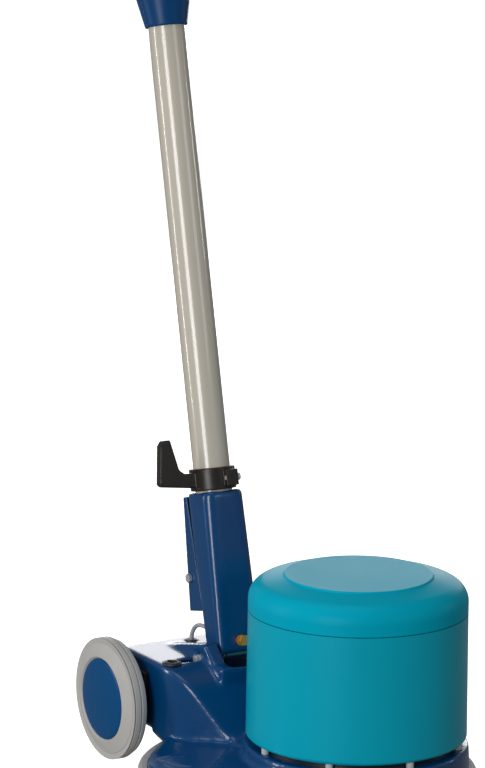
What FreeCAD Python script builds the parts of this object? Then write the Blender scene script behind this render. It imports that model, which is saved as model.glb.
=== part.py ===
import FreeCAD, Part
import Sketcher
import math
import os
from types import SimpleNamespace

# High speed burnisher: a single-disc floor polishing machine, in millimetres.
# The origin is on the floor under the brush axis. The machine faces -Y, the
# wheels and the handle are on the +Y side, and +Z is up.
# The motor stands beside the brush axis and drives it through one gear pair.

doc = FreeCAD.newDocument("HighSpeedBurnisher")
Vector = FreeCAD.Vector

SIZES = {
    # brush
    "pad_radius": 215, "pad_height": 21.7, "pad_gap": 0.3, "pad_bore": 42,
    "driver_inset": 8, "driver_height": 8, "driver_bore": 22,
    "hub_flange_radius": 45, "hub_flange_height": 6, "hub_sleeve_radius": 20,
    "lug_radius": 6, "lug_circle": 34, "lug_length": 6, "lug_play": 0.2, "fit_gap": 0.05,
    "lock_plate_radius": 40, "lock_plate_height": 7,
    # gears and spindle
    "gear_module": 2, "pinion_teeth": 14, "gear_teeth": 49, "gear_face": 14,
    "gear_bottom": 60, "pinion_face": 18, "motor_bearing_angle": -31,
    "spindle_radius": 12.5, "spindle_top_radius": 10,
    "lower_race_radius": 26, "lower_race_height": 15,
    "upper_race_radius": 18.5, "upper_race_height": 9,
    "case_radius": 62, "case_lobe_radius": 34, "case_wall": 5, "case_bottom": 42,
    # deck
    "deck_radius": 210, "deck_wall": 5, "skirt_bottom": 32, "rim_top": 54,
    "crown_radius": 188, "crown_edge": 62, "crown_top": 74,
    "bumper_width": 12, "bumper_bottom": 30, "bumper_height": 24,
    "collar_radius": 149, "collar_foot": 54, "collar_top": 86, "collar_plate": 6,
    # rear housing
    "housing_half": 122, "housing_back": 290, "housing_bottom": 68, "housing_top": 158,
    "housing_knee": 140, "knee_round": 75, "slope_drop": 87, "foot_round": 35,
    "sweep_y": 148, "sweep_round": 110, "rear_round": 20,
    "neck_half": 68, "neck_y": 82, "neck_run": 60,
    "cheek_half": 58, "cheek_peak": 178, "slot_half": 37, "slot_front": 130,
    "slot_back": 240, "slot_floor": 118, "pocket_wall": 6,
    "grommet_x": 103, "grommet_y": 178, "grommet_bore": 6, "grommet_lip": 7.2,
    # motor
    "motor_radius": 88, "motor_wall": 4, "flange_radius": 130, "flange_height": 6,
    "motor_height": 140, "race_radius": 23.5, "race_height": 14,
    "shaft_radius": 10, "fan_shaft_radius": 8, "pinion_shaft_radius": 7,
    "core_radius": 51.5, "air_gap": 0.5, "core_height": 85, "core_lift": 28,
    "fan_radius": 100, "fan_height": 16, "capacitor_radius": 19, "capacitor_height": 90,
    # cover
    "cover_radius": 144.6, "cover_wall": 3.2, "cover_height": 168, "vent_gap": 8,
    "cover_taper": 1.4, "cover_foot_width": 16.6, "spacer_radius": 5, "spacer_count": 8,
    "spacer_turn": 43,
    "lid_margin": 47.2, "lid_step": 2.2, "lid_fall": 11, "lid_round": 26, "lid_height": 48,
    "seam_gap": 1.2,
    # wheels
    "axle_radius": 10, "axle_y": 256, "axle_z": 98, "wheel_gap": 16,
    "tyre_radius": 82, "tyre_seat": 62, "rim_width": 26, "hub_cap_radius": 54.5,
    "hub_radius": 22, "block_length": 100, "block_height": 69, "block_thick": 8,
    "block_drop": 25, "face_rise": 4.5, "groove_first": 8.5, "groove_step": 9.6,
    "groove_width": 2.4, "groove_depth": 2, "cap_rise": 7,
    # handle base
    "pivot_y": 184, "pivot_z": 156.7, "handle_tilt": 12.6, "pivot_bolt_radius": 6,
    "washer_radius": 6.4, "washer_thick": 1.5, "pivot_flats": 9, "pivot_head": 5,
    "bush_radius": 8, "drum_radius": 10, "drum_half": 20, "tube_offset": 15.5,
    "bracket_top": 221, "bracket_foot_half": 34, "bracket_head_half": 31, "bracket_wall": 5,
    "bracket_front": 16, "bracket_back": 25, "socket_wall": 4, "ear_radius": 16,
    "box_bottom": 60, "box_half": 28, "box_wall": 3, "box_foot": 66, "box_head": 53,
    "box_bolt_y": 55, "box_bolt_level": 105, "box_bolt_radius": 3, "box_bolt_flats": 11,
    "rod_radius": 3, "shoe_length": 26, "shoe_half": 12, "stop_radius": 10, "stop_height": 4,
    "spring_wire": 0.8, "spring_radius": 6.5, "spring_pitch": 7, "spring_length": 42,
    "adjuster_level": 18, "adjuster_flats": 13,
    # handle
    "tube_radius": 25, "tube_wall": 3, "tube_bottom": 115, "tube_top": 868,
    "clamp_height": 30, "clamp_wall": 6, "hook_reach": 84, "hook_rise": 43,
    "hook_lean": 6.5, "hook_width": 13,
    "lead_radius": 3,
    # head
    "head_start": 848, "head_half": 72, "head_neck_radius": 28.5, "head_wall": 3.5,
    "head_shoulder": 58, "head_height": 146, "head_front": 40, "head_back": 72,
    "front_chamfer": 14, "back_chamfer": 22,
    "bar_radius": 11, "bar_bend": 30, "grip_radius": 16, "grip_reach": 198, "grip_level": 126,
    "low_bar_level": 80, "grip_offset": 40, "lever_gap": 20, "lever_length": 96,
    "lever_width": 16, "lever_pin_radius": 3, "lug_thick": 4, "lug_reach": 20,
    "button_half": 12.7, "button_drop": 62, "button_play": 0.3, "button_proud": 5,
    "release_lift": 14, "release_offset": 8.5, "release_play": 0.6, "arm_half": 3,
    "arm_width": 14, "paddle_half": 22, "paddle_reach": 40, "rib_thick": 3,
    "gland_inset": 28, "gland_lift": 34, "gland_radius": 8.9,
}

sheet = doc.addObject("Spreadsheet::Sheet", "Sizes")
for row, (alias, number) in enumerate(SIZES.items(), start=1):
    sheet.set(f"A{row}", alias)
    sheet.set(f"B{row}", str(number))
    sheet.setAlias(f"B{row}", alias)
doc.recompute()


class Size:
    """A length that carries both its number and its expression on the sheet."""

    def __init__(self, value, text):
        self.value = float(value)
        self.text = text

    def __add__(self, other):
        return joined(self, "+", other)

    def __radd__(self, other):
        return joined(other, "+", self)

    def __sub__(self, other):
        return joined(self, "-", other)

    def __rsub__(self, other):
        return joined(other, "-", self)

    def __mul__(self, other):
        return joined(self, "*", other)

    def __rmul__(self, other):
        return joined(other, "*", self)

    def __truediv__(self, other):
        return joined(self, "/", other)

    def __neg__(self):
        return joined(0, "-", self)


def as_size(number):
    return number if isinstance(number, Size) else Size(number, repr(float(number)))


def joined(left, sign, right):
    left, right = as_size(left), as_size(right)
    results = {"+": left.value + right.value, "-": left.value - right.value,
               "*": left.value * right.value}
    value = left.value / right.value if sign == "/" else results[sign]
    return Size(value, f"({left.text} {sign} {right.text})")


def cosine(angle):
    return Size(math.cos(math.radians(angle.value)), f"cos({angle.text} * 1 deg)")


def sine(angle):
    return Size(math.sin(math.radians(angle.value)), f"sin({angle.text} * 1 deg)")


D = SimpleNamespace(**{alias: Size(sheet.get(alias), f"Sizes.{alias}") for alias in SIZES})


def bind(thing, prop, size):
    size = as_size(size)
    thing.setExpression(prop, size.text)
    return size.value


def move(thing, x=0, y=0, z=0, axis=(0, 0, 1), angle=0):
    """Puts a shape at x, y, z, turned by angle degrees about axis."""
    spot = Vector(as_size(x).value, as_size(y).value, as_size(z).value)
    turn = FreeCAD.Rotation(Vector(*axis), as_size(angle).value)
    thing.Placement = FreeCAD.Placement(spot, turn)
    for name, size in (("x", x), ("y", y), ("z", z)):
        if isinstance(size, Size):
            bind(thing, f"Placement.Base.{name}", size)
    if isinstance(angle, Size):
        bind(thing, "Placement.Rotation.Angle", angle)
    return thing


ALONG_X = ((0, 1, 0), 90)
ALONG_Y = ((1, 0, 0), -90)


def cylinder(name, radius, height, x=0, y=0, z=0, turn=((0, 0, 1), 0)):
    thing = doc.addObject("Part::Cylinder", name)
    bind(thing, "Radius", radius)
    bind(thing, "Height", height)
    return move(thing, x, y, z, *turn)


def box(name, low, high):
    """A box between two corners."""
    thing = doc.addObject("Part::Box", name)
    for prop, first, last in zip(("Length", "Width", "Height"), low, high):
        bind(thing, prop, as_size(last) - first)
    return move(thing, *low)


def ring(name, inner, outer, bottom, height):
    body = cylinder(f"{name}_outer", outer, height, z=bottom)
    bore = cylinder(f"{name}_bore", inner, height, z=bottom)
    return cut(name, body, bore)


def cut(name, base, *tools):
    thing = doc.addObject("Part::Cut", name)
    thing.Base = base
    thing.Tool = tools[0] if len(tools) == 1 else fuse(f"{name}_tools", *tools)
    return thing


def fuse(name, *shapes):
    thing = doc.addObject("Part::MultiFuse", name)
    thing.Shapes = list(shapes)
    return thing


def common(name, *shapes):
    thing = doc.addObject("Part::MultiCommon", name)
    thing.Shapes = list(shapes)
    return thing


def outline(sketch, points):
    """A closed polygon whose corners are tied to the sheet."""
    count = len(points)
    corners = [(as_size(x), as_size(y)) for x, y in points]
    for index, (x, y) in enumerate(corners):
        after = corners[(index + 1) % count]
        sketch.addGeometry(Part.LineSegment(Vector(x.value, y.value, 0),
                                            Vector(after[0].value, after[1].value, 0)))
    for index in range(count):
        sketch.addConstraint(Sketcher.Constraint("Coincident", index, 2, (index + 1) % count, 1))
    for index, corner in enumerate(corners):
        for kind, axis, size in (("DistanceX", -2, corner[0]), ("DistanceY", -1, corner[1])):
            if abs(size.value) < 1e-9:
                sketch.addConstraint(Sketcher.Constraint("PointOnObject", index, 1, axis))
                continue
            rule = sketch.addConstraint(Sketcher.Constraint(kind, -1, 1, index, 1, size.value))
            bind(sketch, f"Constraints[{rule}]", size)


def body_sketch(name, plane, points):
    body = doc.addObject("PartDesign::Body", name)
    sketch = body.newObject("Sketcher::SketchObject", f"{name}_sketch")
    face = next(item for item in body.Origin.OriginFeatures if item.Role == plane)
    sketch.AttachmentSupport = [(face, "")]
    sketch.MapMode = "FlatFace"
    outline(sketch, points)
    return body, sketch


def turned(name, points, rounds=()):
    """A turned piece about Z from an outline of (radius, height) corners."""
    body, sketch = body_sketch(name, "XZ_Plane", points)
    spin = body.newObject("PartDesign::Revolution", f"{name}_spin")
    spin.Profile = sketch
    spin.ReferenceAxis = (sketch, ["V_Axis"])
    spin.Angle = 360
    doc.recompute()
    for radius, corners in rounds:
        round_edges(body, radius, [Vector(as_size(r).value, 0, as_size(h).value)
                                   for r, h in corners])
    return body


def slab(name, plane, points, length, rounds=()):
    """A plate of one outline, thickened evenly to both sides of its plane."""
    body, sketch = body_sketch(name, plane, points)
    pad = body.newObject("PartDesign::Pad", f"{name}_pad")
    pad.Profile = sketch
    pad.Midplane = True
    bind(pad, "Length", length)
    doc.recompute()
    for radius, spots in rounds:
        round_edges(body, radius, spots)
    return body


def round_edges(body, radius, spots):
    """Rounds each edge of the body's last feature that passes through a spot."""
    tip = body.Tip
    names = []
    for spot in spots:
        vertex = Part.Vertex(spot)
        gaps = [(vertex.distToShape(edge)[0], number)
                for number, edge in enumerate(tip.Shape.Edges, start=1)]
        names.append(f"Edge{min(gaps)[1]}")
    fillet = body.newObject("PartDesign::Fillet", f"{body.Name}_round_{len(body.Group)}")
    fillet.Base = (tip, sorted(set(names)))
    bind(fillet, "Radius", radius)
    doc.recompute()


def shaped(name, shape):
    thing = doc.addObject("Part::Feature", name)
    thing.Shape = shape
    return thing


# Frames: where a group of pieces stands.
GEAR_CENTRES = D.gear_module * (D.pinion_teeth + D.gear_teeth) / 2
MOTOR_X = GEAR_CENTRES * cosine(D.motor_bearing_angle)
MOTOR_Y = GEAR_CENTRES * sine(D.motor_bearing_angle)
MACHINE_FRAME = {}
MOTOR_FRAME = {"x": MOTOR_X, "y": MOTOR_Y}
HANDLE_FRAME = {"y": D.pivot_y, "z": D.pivot_z, "axis": (-1, 0, 0), "angle": D.handle_tilt}

nodes = []


def node(label, *pieces, frame=MACHINE_FRAME):
    """One sub-part: its solids, under the name that its file gets."""
    thing = doc.addObject("Part::Compound", label)
    thing.Label = label
    thing.Links = list(pieces)
    move(thing, **frame)
    nodes.append(thing)
    return thing


# ---------------------------------------------------------------- brush group

DRIVER_BOTTOM = D.pad_height + D.pad_gap
DRIVER_TOP = DRIVER_BOTTOM + D.driver_height
DRIVER_RADIUS = D.deck_radius - D.driver_inset
HUB_TOP = DRIVER_TOP + D.hub_flange_height
PLATE_BOTTOM = D.collar_top - D.collar_plate
GEAR_TOP = D.gear_bottom + D.gear_face
LOWER_RACE = D.case_bottom + 2
UPPER_RACE = D.collar_top - 1 - D.upper_race_height


def polishing_pad():
    """A whole pad with a recess on top that takes the centre plate."""
    disc = cylinder("pad_disc", D.pad_radius, D.pad_height)
    recess = cylinder("pad_recess", D.pad_bore, D.lock_plate_height + 1,
                      z=DRIVER_BOTTOM - D.lock_plate_height - 0.3)
    node("polishing_pad", cut("pad_recessed", disc, recess))


def pad_driver():
    disc = ring("driver_disc", D.driver_bore, DRIVER_RADIUS, DRIVER_BOTTOM, D.driver_height)
    holes = [cylinder(f"lug_hole_{turn}", D.lug_radius + D.lug_play, D.driver_height,
                      x=D.lug_circle * cosine(as_size(turn)),
                      y=D.lug_circle * sine(as_size(turn)), z=DRIVER_BOTTOM)
             for turn in (0, 120, 240)]
    node("pad_driver", cut("driver_drilled", disc, *holes))


def pad_lock():
    """The screwed centre plate that holds the pad on its driver."""
    low = DRIVER_BOTTOM - D.lock_plate_height
    shape = turned("lock_turned", [
        (0, low), (D.lock_plate_radius - 4, low), (D.lock_plate_radius, low + 3),
        (D.lock_plate_radius, DRIVER_BOTTOM), (D.driver_bore - D.fit_gap, DRIVER_BOTTOM),
        (D.driver_bore - D.fit_gap, DRIVER_BOTTOM + 6), (0, DRIVER_BOTTOM + 6)])
    node("pad_lock", shape)


def drive_hub():
    shape = turned("hub_turned", [
        (D.spindle_radius, DRIVER_TOP), (D.hub_flange_radius, DRIVER_TOP),
        (D.hub_flange_radius, HUB_TOP), (D.hub_sleeve_radius, HUB_TOP),
        (D.hub_sleeve_radius, D.case_bottom - 0.5), (D.spindle_radius, D.case_bottom - 0.5)])
    lugs = [cylinder(f"lug_{turn}", D.lug_radius, D.lug_length + 1,
                     x=D.lug_circle * cosine(as_size(turn)),
                     y=D.lug_circle * sine(as_size(turn)), z=DRIVER_TOP - D.lug_length)
            for turn in (0, 120, 240)]
    node("drive_hub", fuse("hub_with_lugs", shape, *lugs))


def output_spindle():
    shape = turned("spindle_turned", [
        (0, DRIVER_TOP), (D.spindle_radius, DRIVER_TOP), (D.spindle_radius, GEAR_TOP + 1.5),
        (D.spindle_top_radius, GEAR_TOP + 1.5), (D.spindle_top_radius, D.collar_top - 1),
        (0, D.collar_top - 1)])
    node("output_spindle", shape)


def spindle_bearings():
    lower = ring("lower_race", D.spindle_radius + D.fit_gap, D.lower_race_radius,
                 LOWER_RACE, D.lower_race_height)
    upper = ring("upper_race", D.spindle_top_radius + D.fit_gap, D.upper_race_radius,
                 UPPER_RACE, D.upper_race_height)
    node("spindle_bearings", lower, upper)


def gear_case():
    """The oil-tight gear case that hangs under the collar plate."""
    height = PLATE_BOTTOM - D.case_bottom
    floor = D.case_bottom + D.case_wall
    inside = PLATE_BOTTOM - floor
    outside = fuse("case_outside",
                   cylinder("case_round", D.case_radius, height, z=D.case_bottom),
                   cylinder("case_lobe", D.case_lobe_radius, height, MOTOR_X, MOTOR_Y,
                            D.case_bottom))
    inner = fuse("case_inside",
                 cylinder("case_room", D.case_radius - D.case_wall, inside, z=floor),
                 cylinder("case_lobe_room", D.case_lobe_radius - D.case_wall, inside,
                          MOTOR_X, MOTOR_Y, floor))
    boss = cylinder("case_boss", D.lower_race_radius + D.case_wall,
                    D.lower_race_height + 2, z=D.case_bottom)
    shell = fuse("case_shell", cut("case_hollow", outside, inner), boss)
    seat = cylinder("case_seat", D.lower_race_radius, D.lower_race_height, z=LOWER_RACE)
    throat = cylinder("case_throat", D.hub_sleeve_radius + 0.5, 2, z=D.case_bottom)
    node("gear_case", cut("case_bored", shell, seat, throat))


def gear_wheel(module, teeth, face, bore, first_angle):
    """A spur gear with involute flanks, one tooth centred on first_angle."""
    pressure = math.radians(25)
    pitch = module * teeth / 2
    base = pitch * math.cos(pressure)
    tip = pitch + module
    root = pitch - 1.25 * module
    slack = 0.22
    involute = math.tan(pressure) - pressure
    half_tooth = (math.pi * module / 2 - slack) / (2 * pitch) + involute

    def flank(radius):
        roll = math.acos(min(1, base / radius))
        return half_tooth - (math.tan(roll) - roll)

    def spot(radius, angle):
        return Vector(radius * math.cos(angle), radius * math.sin(angle), 0)

    steps = 5
    start = max(base, root)
    radii = [start + (tip - start) * step / (steps - 1) for step in range(steps)]
    edges = []
    for tooth in range(teeth):
        middle = math.radians(first_angle) + 2 * math.pi * tooth / teeth
        after = middle + 2 * math.pi / teeth
        rise = [spot(radius, middle - flank(radius)) for radius in radii]
        fall = [spot(radius, middle + flank(radius)) for radius in reversed(radii)]
        foot = spot(root, middle + flank(start))
        following = spot(root, after - flank(start))
        first_foot = spot(root, middle - flank(start))
        for points in (rise, fall):
            curve = Part.BSplineCurve()
            curve.interpolate(points)
            edges.append(curve.toShape())
        edges.append(Part.Arc(rise[-1], spot(tip, middle), fall[0]).toShape())
        if start > root:
            edges.append(Part.LineSegment(first_foot, rise[0]).toShape())
            edges.append(Part.LineSegment(fall[-1], foot).toShape())
        edges.append(Part.Arc(foot, spot(root, middle + math.pi / teeth), following).toShape())
    wire = Part.Wire(Part.__sortEdges__(edges))
    disc = Part.Face(wire).extrude(Vector(0, 0, face))
    return disc.cut(Part.makeCylinder(bore, face))


def drive_gears():
    wheel = gear_wheel(D.gear_module.value, int(D.gear_teeth.value), D.gear_face.value,
                       D.spindle_radius.value, D.motor_bearing_angle.value)
    gear = shaped("drive_gear_wheel", wheel)
    node("drive_gear", move(gear, z=D.gear_bottom))
    back = D.motor_bearing_angle.value + 180 + 180 / D.pinion_teeth.value
    small = gear_wheel(D.gear_module.value, int(D.pinion_teeth.value), D.pinion_face.value,
                       D.pinion_shaft_radius.value, back)
    pinion = shaped("drive_pinion_wheel", small)
    node("drive_pinion", move(pinion, z=D.gear_bottom - 1), frame=MOTOR_FRAME)


# ------------------------------------------------------------------ deck group

LEAD_X = -D.slot_half + 12
LEAD_Y = D.slot_back + 22


def housing_block(name, inset):
    """The rear housing's form: a side view and a plan view crossed."""
    back = D.housing_back - inset
    top = D.housing_top - inset
    half = D.housing_half - inset
    floor = D.housing_bottom - (0 if inset == 0 else 3)
    low = D.crown_edge - 6
    foot_z = top - D.slope_drop
    side = slab(f"{name}_side", "YZ_Plane", [
        (back, floor), (back, top), (D.housing_knee, top), (D.neck_y, foot_z),
        (D.neck_y - D.neck_run, foot_z - 1), (D.neck_y - D.neck_run, low),
        (D.crown_radius + 12, low), (D.crown_radius + 12, floor)], 2 * half,
        rounds=[(D.knee_round - inset, [Vector(0, D.housing_knee.value, top.value)]),
                (D.foot_round + inset, [Vector(0, D.neck_y.value, foot_z.value)])])
    wide = D.housing_half - inset
    narrow = D.neck_half - inset
    plan = slab(f"{name}_plan", "XY_Plane", [
        (wide, back), (wide, D.sweep_y), (narrow, D.neck_y), (narrow, D.neck_y - D.neck_run),
        (-narrow, D.neck_y - D.neck_run), (-narrow, D.neck_y), (-wide, D.sweep_y),
        (-wide, back)], 2 * D.housing_back,
        rounds=[(D.sweep_round - inset, [Vector(edge * wide.value, D.sweep_y.value, 0)
                                         for edge in (-1, 1)]),
                (D.rear_round - inset, [Vector(edge * wide.value, back.value, 0)
                                        for edge in (-1, 1)])])
    return common(name, side, plan)


def deck():
    """The one-piece cast deck: disc, motor collar, rear housing and handle cheeks."""
    inner_radius = D.deck_radius - D.deck_wall
    disc = turned("deck_disc", [
        (0, D.crown_top - D.deck_wall), (D.crown_radius, D.crown_edge - D.deck_wall),
        (inner_radius, D.rim_top - D.deck_wall), (inner_radius, D.skirt_bottom),
        (D.deck_radius, D.skirt_bottom), (D.deck_radius, D.rim_top),
        (D.crown_radius + 6, D.crown_edge), (0, D.crown_top)],
        rounds=[(6, [(D.deck_radius, D.rim_top)])])
    collar = move(turned("deck_collar", [
        (0, PLATE_BOTTOM), (D.collar_radius - D.deck_wall, PLATE_BOTTOM),
        (D.collar_radius - D.deck_wall, D.collar_foot), (D.collar_radius, D.collar_foot),
        (D.collar_radius - 2, D.collar_top), (0, D.collar_top)]), **MOTOR_FRAME)
    shell = cut("housing_shell", housing_block("housing_outside", as_size(0)),
                housing_block("housing_inside", D.deck_wall))
    pocket = box("pocket_block",
                 (-D.cheek_half, D.slot_front - D.pocket_wall, D.slot_floor - D.pocket_wall),
                 (D.cheek_half, D.slot_back + D.pocket_wall, D.housing_top - 1))
    cheek = slab("cheek_wedge", "YZ_Plane", [
        (D.slot_back + 36, D.housing_top - 2), (D.pivot_y - 2, D.cheek_peak),
        (D.pivot_y - 14, D.cheek_peak), (D.slot_front + 12, D.housing_top - 6),
        (D.slot_front, D.slot_floor), (D.slot_back, D.slot_floor)], 2 * D.cheek_half)
    boss = cylinder("upper_boss", D.upper_race_radius + D.deck_wall, D.collar_top - UPPER_RACE,
                    z=UPPER_RACE)
    collar_room = cylinder("collar_room", D.collar_radius - D.deck_wall, PLATE_BOTTOM,
                           MOTOR_X, MOTOR_Y)
    around_cover = cylinder("around_cover", D.cover_radius + D.vent_gap, 2 * D.cover_height,
                            MOTOR_X, MOTOR_Y, D.collar_top)
    slot = box("handle_slot", (-D.slot_half, D.slot_front, D.slot_floor),
               (D.slot_half, D.slot_back, D.cheek_peak + 30))
    solid = fuse("deck_form", cut("disc_open", disc, collar_room),
                 cut("housing_open", shell, collar_room), pocket, cheek, collar)
    bay = box("rear_bay", (-D.slot_half, D.slot_front, D.housing_top),
              (D.slot_half, D.housing_back + 10, D.cheek_peak + 30))
    bores = [
        around_cover, slot, bay,
        cylinder("upper_seat", D.upper_race_radius, D.collar_top - UPPER_RACE, z=UPPER_RACE),
        cylinder("shaft_hole", D.hub_sleeve_radius, D.collar_plate + 2, MOTOR_X, MOTOR_Y,
                 PLATE_BOTTOM - 1),
        cylinder("pivot_hole", D.pivot_bolt_radius + D.fit_gap, 3 * D.cheek_half,
                 -1.5 * D.cheek_half, D.pivot_y, D.pivot_z, ALONG_X),
        cylinder("axle_hole", D.axle_radius + D.fit_gap, 3 * D.housing_half,
                 -1.5 * D.housing_half, D.axle_y, D.axle_z, ALONG_X),
        cylinder("lead_hole", D.lead_radius + 3, 80, LEAD_X, LEAD_Y, D.slot_floor - 10)]
    for side in (-1, 1):
        bores.append(cylinder(f"head_recess_{side}", D.washer_radius + 1, 12,
                              side * (D.cheek_half + 6) - 6, D.pivot_y, D.pivot_z, ALONG_X))
    for side in (-1, 1):
        bores.append(cylinder(f"grommet_hole_{side}", D.grommet_bore + 2, 20,
                              side * D.grommet_x, D.grommet_y, D.housing_top - 10))
    whole = fuse("deck_with_boss", cut("deck_bored", solid, *bores[:3]), boss)
    node("deck", cut("deck_finished", whole, *bores[3:]))


def bumper():
    outer = D.deck_radius + D.bumper_width
    top = D.bumper_bottom + D.bumper_height
    shape = turned("bumper_ring", [
        (D.deck_radius, D.bumper_bottom), (outer, D.bumper_bottom), (outer, top - 4),
        (D.deck_radius, top - 4)],
        rounds=[(6, [(outer, D.bumper_bottom), (outer, top - 4)])])
    node("bumper", shape)


def platform_grommets():
    rings = []
    for side in (-1, 1):
        low, high = D.housing_top, D.housing_top + 3
        bore, lip = D.grommet_bore, D.grommet_bore + D.grommet_lip
        grommet = turned(f"grommet_{side}", [
            (bore, low - 8), (bore + 1.9, low - 8), (bore + 1.9, low), (lip, low),
            (lip - 0.6, high - 1.2), (lip - 3.8, high), (bore + 1, high), (bore, high - 1)])
        rings.append(move(grommet, side * D.grommet_x, D.grommet_y))
    node("platform_grommets", *rings)


# ----------------------------------------------------------------- motor group

FLANGE_TOP = D.collar_top + D.flange_height
SHELL_TOP = FLANGE_TOP + D.motor_height
CORE_BOTTOM = FLANGE_TOP + D.core_lift
CORE_TOP = CORE_BOTTOM + D.core_height
LOW_RACE = D.collar_top + 2
HIGH_RACE = SHELL_TOP - 6
FAN_BOTTOM = SHELL_TOP + 18
STATOR_BORE = D.core_radius + D.air_gap


def motor_end_shields():
    seat = D.race_radius
    boss = seat + 6
    lower = turned("lower_shield", [
        (D.shaft_radius + 1, D.collar_top), (D.flange_radius, D.collar_top),
        (D.flange_radius, FLANGE_TOP), (boss, FLANGE_TOP), (boss, LOW_RACE + D.race_height),
        (seat, LOW_RACE + D.race_height), (seat, LOW_RACE), (D.shaft_radius + 1, LOW_RACE)])
    node("motor_lower_shield", lower, frame=MOTOR_FRAME)
    top = HIGH_RACE + D.race_height
    upper = turned("upper_shield", [
        (seat, HIGH_RACE), (boss, HIGH_RACE), (boss, SHELL_TOP), (D.motor_radius, SHELL_TOP),
        (D.motor_radius, SHELL_TOP + 6), (boss, SHELL_TOP + 6), (boss, top + 2),
        (D.shaft_radius + 1, top + 2), (D.shaft_radius + 1, top), (seat, top)])
    node("motor_upper_shield", upper, frame=MOTOR_FRAME)


def motor_housing():
    shell = ring("motor_tube", D.motor_radius - D.motor_wall, D.motor_radius, FLANGE_TOP,
                 D.motor_height)
    node("motor_housing", shell, frame=MOTOR_FRAME)


def stator():
    core = ring("core_ring", STATOR_BORE, D.motor_radius - D.motor_wall, CORE_BOTTOM,
                D.core_height)
    node("stator_core", core, frame=MOTOR_FRAME)
    coils = [ring(f"coil_{place}", STATOR_BORE + 4, D.motor_radius - 12, low, 16)
             for place, low in (("low", CORE_BOTTOM - 16), ("high", CORE_TOP))]
    node("stator_windings", *coils, frame=MOTOR_FRAME)


def rotor():
    shape = turned("rotor_turned", [
        (0, D.gear_bottom - 1), (D.pinion_shaft_radius, D.gear_bottom - 1),
        (D.pinion_shaft_radius, LOW_RACE - 4), (D.shaft_radius, LOW_RACE - 4),
        (D.shaft_radius, CORE_BOTTOM), (D.core_radius, CORE_BOTTOM), (D.core_radius, CORE_TOP),
        (D.shaft_radius, CORE_TOP), (D.shaft_radius, FAN_BOTTOM), (D.fan_shaft_radius, FAN_BOTTOM),
        (D.fan_shaft_radius, FAN_BOTTOM + D.fan_height), (0, FAN_BOTTOM + D.fan_height)])
    node("rotor", shape, frame=MOTOR_FRAME)


def motor_bearings():
    races = [ring(f"motor_race_{place}", D.shaft_radius + D.fit_gap, D.race_radius, low,
                  D.race_height)
             for place, low in (("low", LOW_RACE), ("high", HIGH_RACE))]
    node("motor_bearings", *races, frame=MOTOR_FRAME)


def cooling_fan():
    hub = turned("fan_hub", [
        (D.fan_shaft_radius, FAN_BOTTOM), (D.fan_radius, FAN_BOTTOM),
        (D.fan_radius, FAN_BOTTOM + 2), (16, FAN_BOTTOM + 2), (16, FAN_BOTTOM + D.fan_height),
        (D.fan_shaft_radius, FAN_BOTTOM + D.fan_height)])
    blades = []
    for turn in range(0, 360, 45):
        blade = box(f"fan_blade_{turn}", (40, -1.2, 0), (D.fan_radius - 3, 1.2, D.fan_height - 3))
        blades.append(move(blade, 40 * cosine(as_size(turn)), 40 * sine(as_size(turn)),
                           FAN_BOTTOM + 1.5, (0, 0, 1), turn))
        bind(blade, "Length", D.fan_radius - 43)
    node("cooling_fan", fuse("fan_bladed", hub, *blades), frame=MOTOR_FRAME)


def capacitors():
    place = D.motor_radius + D.capacitor_radius + 1
    cans = [cylinder(f"capacitor_{turn}", D.capacitor_radius, D.capacitor_height,
                     place * cosine(as_size(turn)), place * sine(as_size(turn)), FLANGE_TOP)
            for turn in (150, 210)]
    node("capacitors", *cans, frame=MOTOR_FRAME)


COVER_BOTTOM = D.collar_top + D.vent_gap
COVER_TOP = COVER_BOTTOM + D.cover_height
COVER_TOP_RADIUS = D.cover_radius - D.cover_taper
LID_BOTTOM = COVER_TOP + D.seam_gap
LID_TOP = COVER_TOP + D.lid_height


def motor_cover():
    """The tapered steel drum round the motor, with a foot that rests on the spacers."""
    wall = D.cover_wall
    foot_bore = D.cover_radius - D.cover_foot_width
    shape = turned("cover_turned", [
        (foot_bore, COVER_BOTTOM), (D.cover_radius, COVER_BOTTOM),
        (COVER_TOP_RADIUS, COVER_TOP), (COVER_TOP_RADIUS - wall, COVER_TOP),
        (D.cover_radius - wall, COVER_BOTTOM + wall), (foot_bore, COVER_BOTTOM + wall)],
        rounds=[(5, [(D.cover_radius, COVER_BOTTOM)])])
    node("motor_cover", shape, frame=MOTOR_FRAME)


def cover_lid():
    """The domed lid: a rounded shoulder, a raised disc and a spigot inside the cover."""
    wall = D.cover_wall
    edge = COVER_TOP_RADIUS
    disc = edge - D.lid_margin
    spigot = edge - wall - 0.6
    deck_low, rim_low = LID_TOP - D.lid_step, LID_TOP - D.lid_step - D.lid_fall
    shape = turned("lid_turned", [
        (edge, LID_BOTTOM), (edge, rim_low), (disc + 2, deck_low), (disc, LID_TOP),
        (0, LID_TOP), (0, LID_TOP - wall), (disc - 1, LID_TOP - wall),
        (disc, deck_low - wall), (spigot - 3, rim_low - wall), (spigot - 3, COVER_TOP - 12),
        (spigot, COVER_TOP - 12), (spigot, LID_BOTTOM)],
        rounds=[(D.lid_round, [(edge, rim_low)]), (D.lid_round - wall, [(spigot - 3, rim_low - wall)]),
                (0.8, [(disc, LID_TOP)])])
    node("cover_lid", shape, frame=MOTOR_FRAME)


def cover_spacers():
    count = int(D.spacer_count.value)
    reach = D.cover_radius - 9
    posts = []
    for index in range(count):
        turn = D.spacer_turn + 360 * index / count
        posts.append(cylinder(f"spacer_{index}", D.spacer_radius, D.vent_gap,
                              reach * cosine(turn), reach * sine(turn), D.collar_top))
    node("cover_spacers", *posts, frame=MOTOR_FRAME)


# ----------------------------------------------------------------- wheel group

WHEEL_INSIDE = D.housing_half + D.wheel_gap


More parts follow.
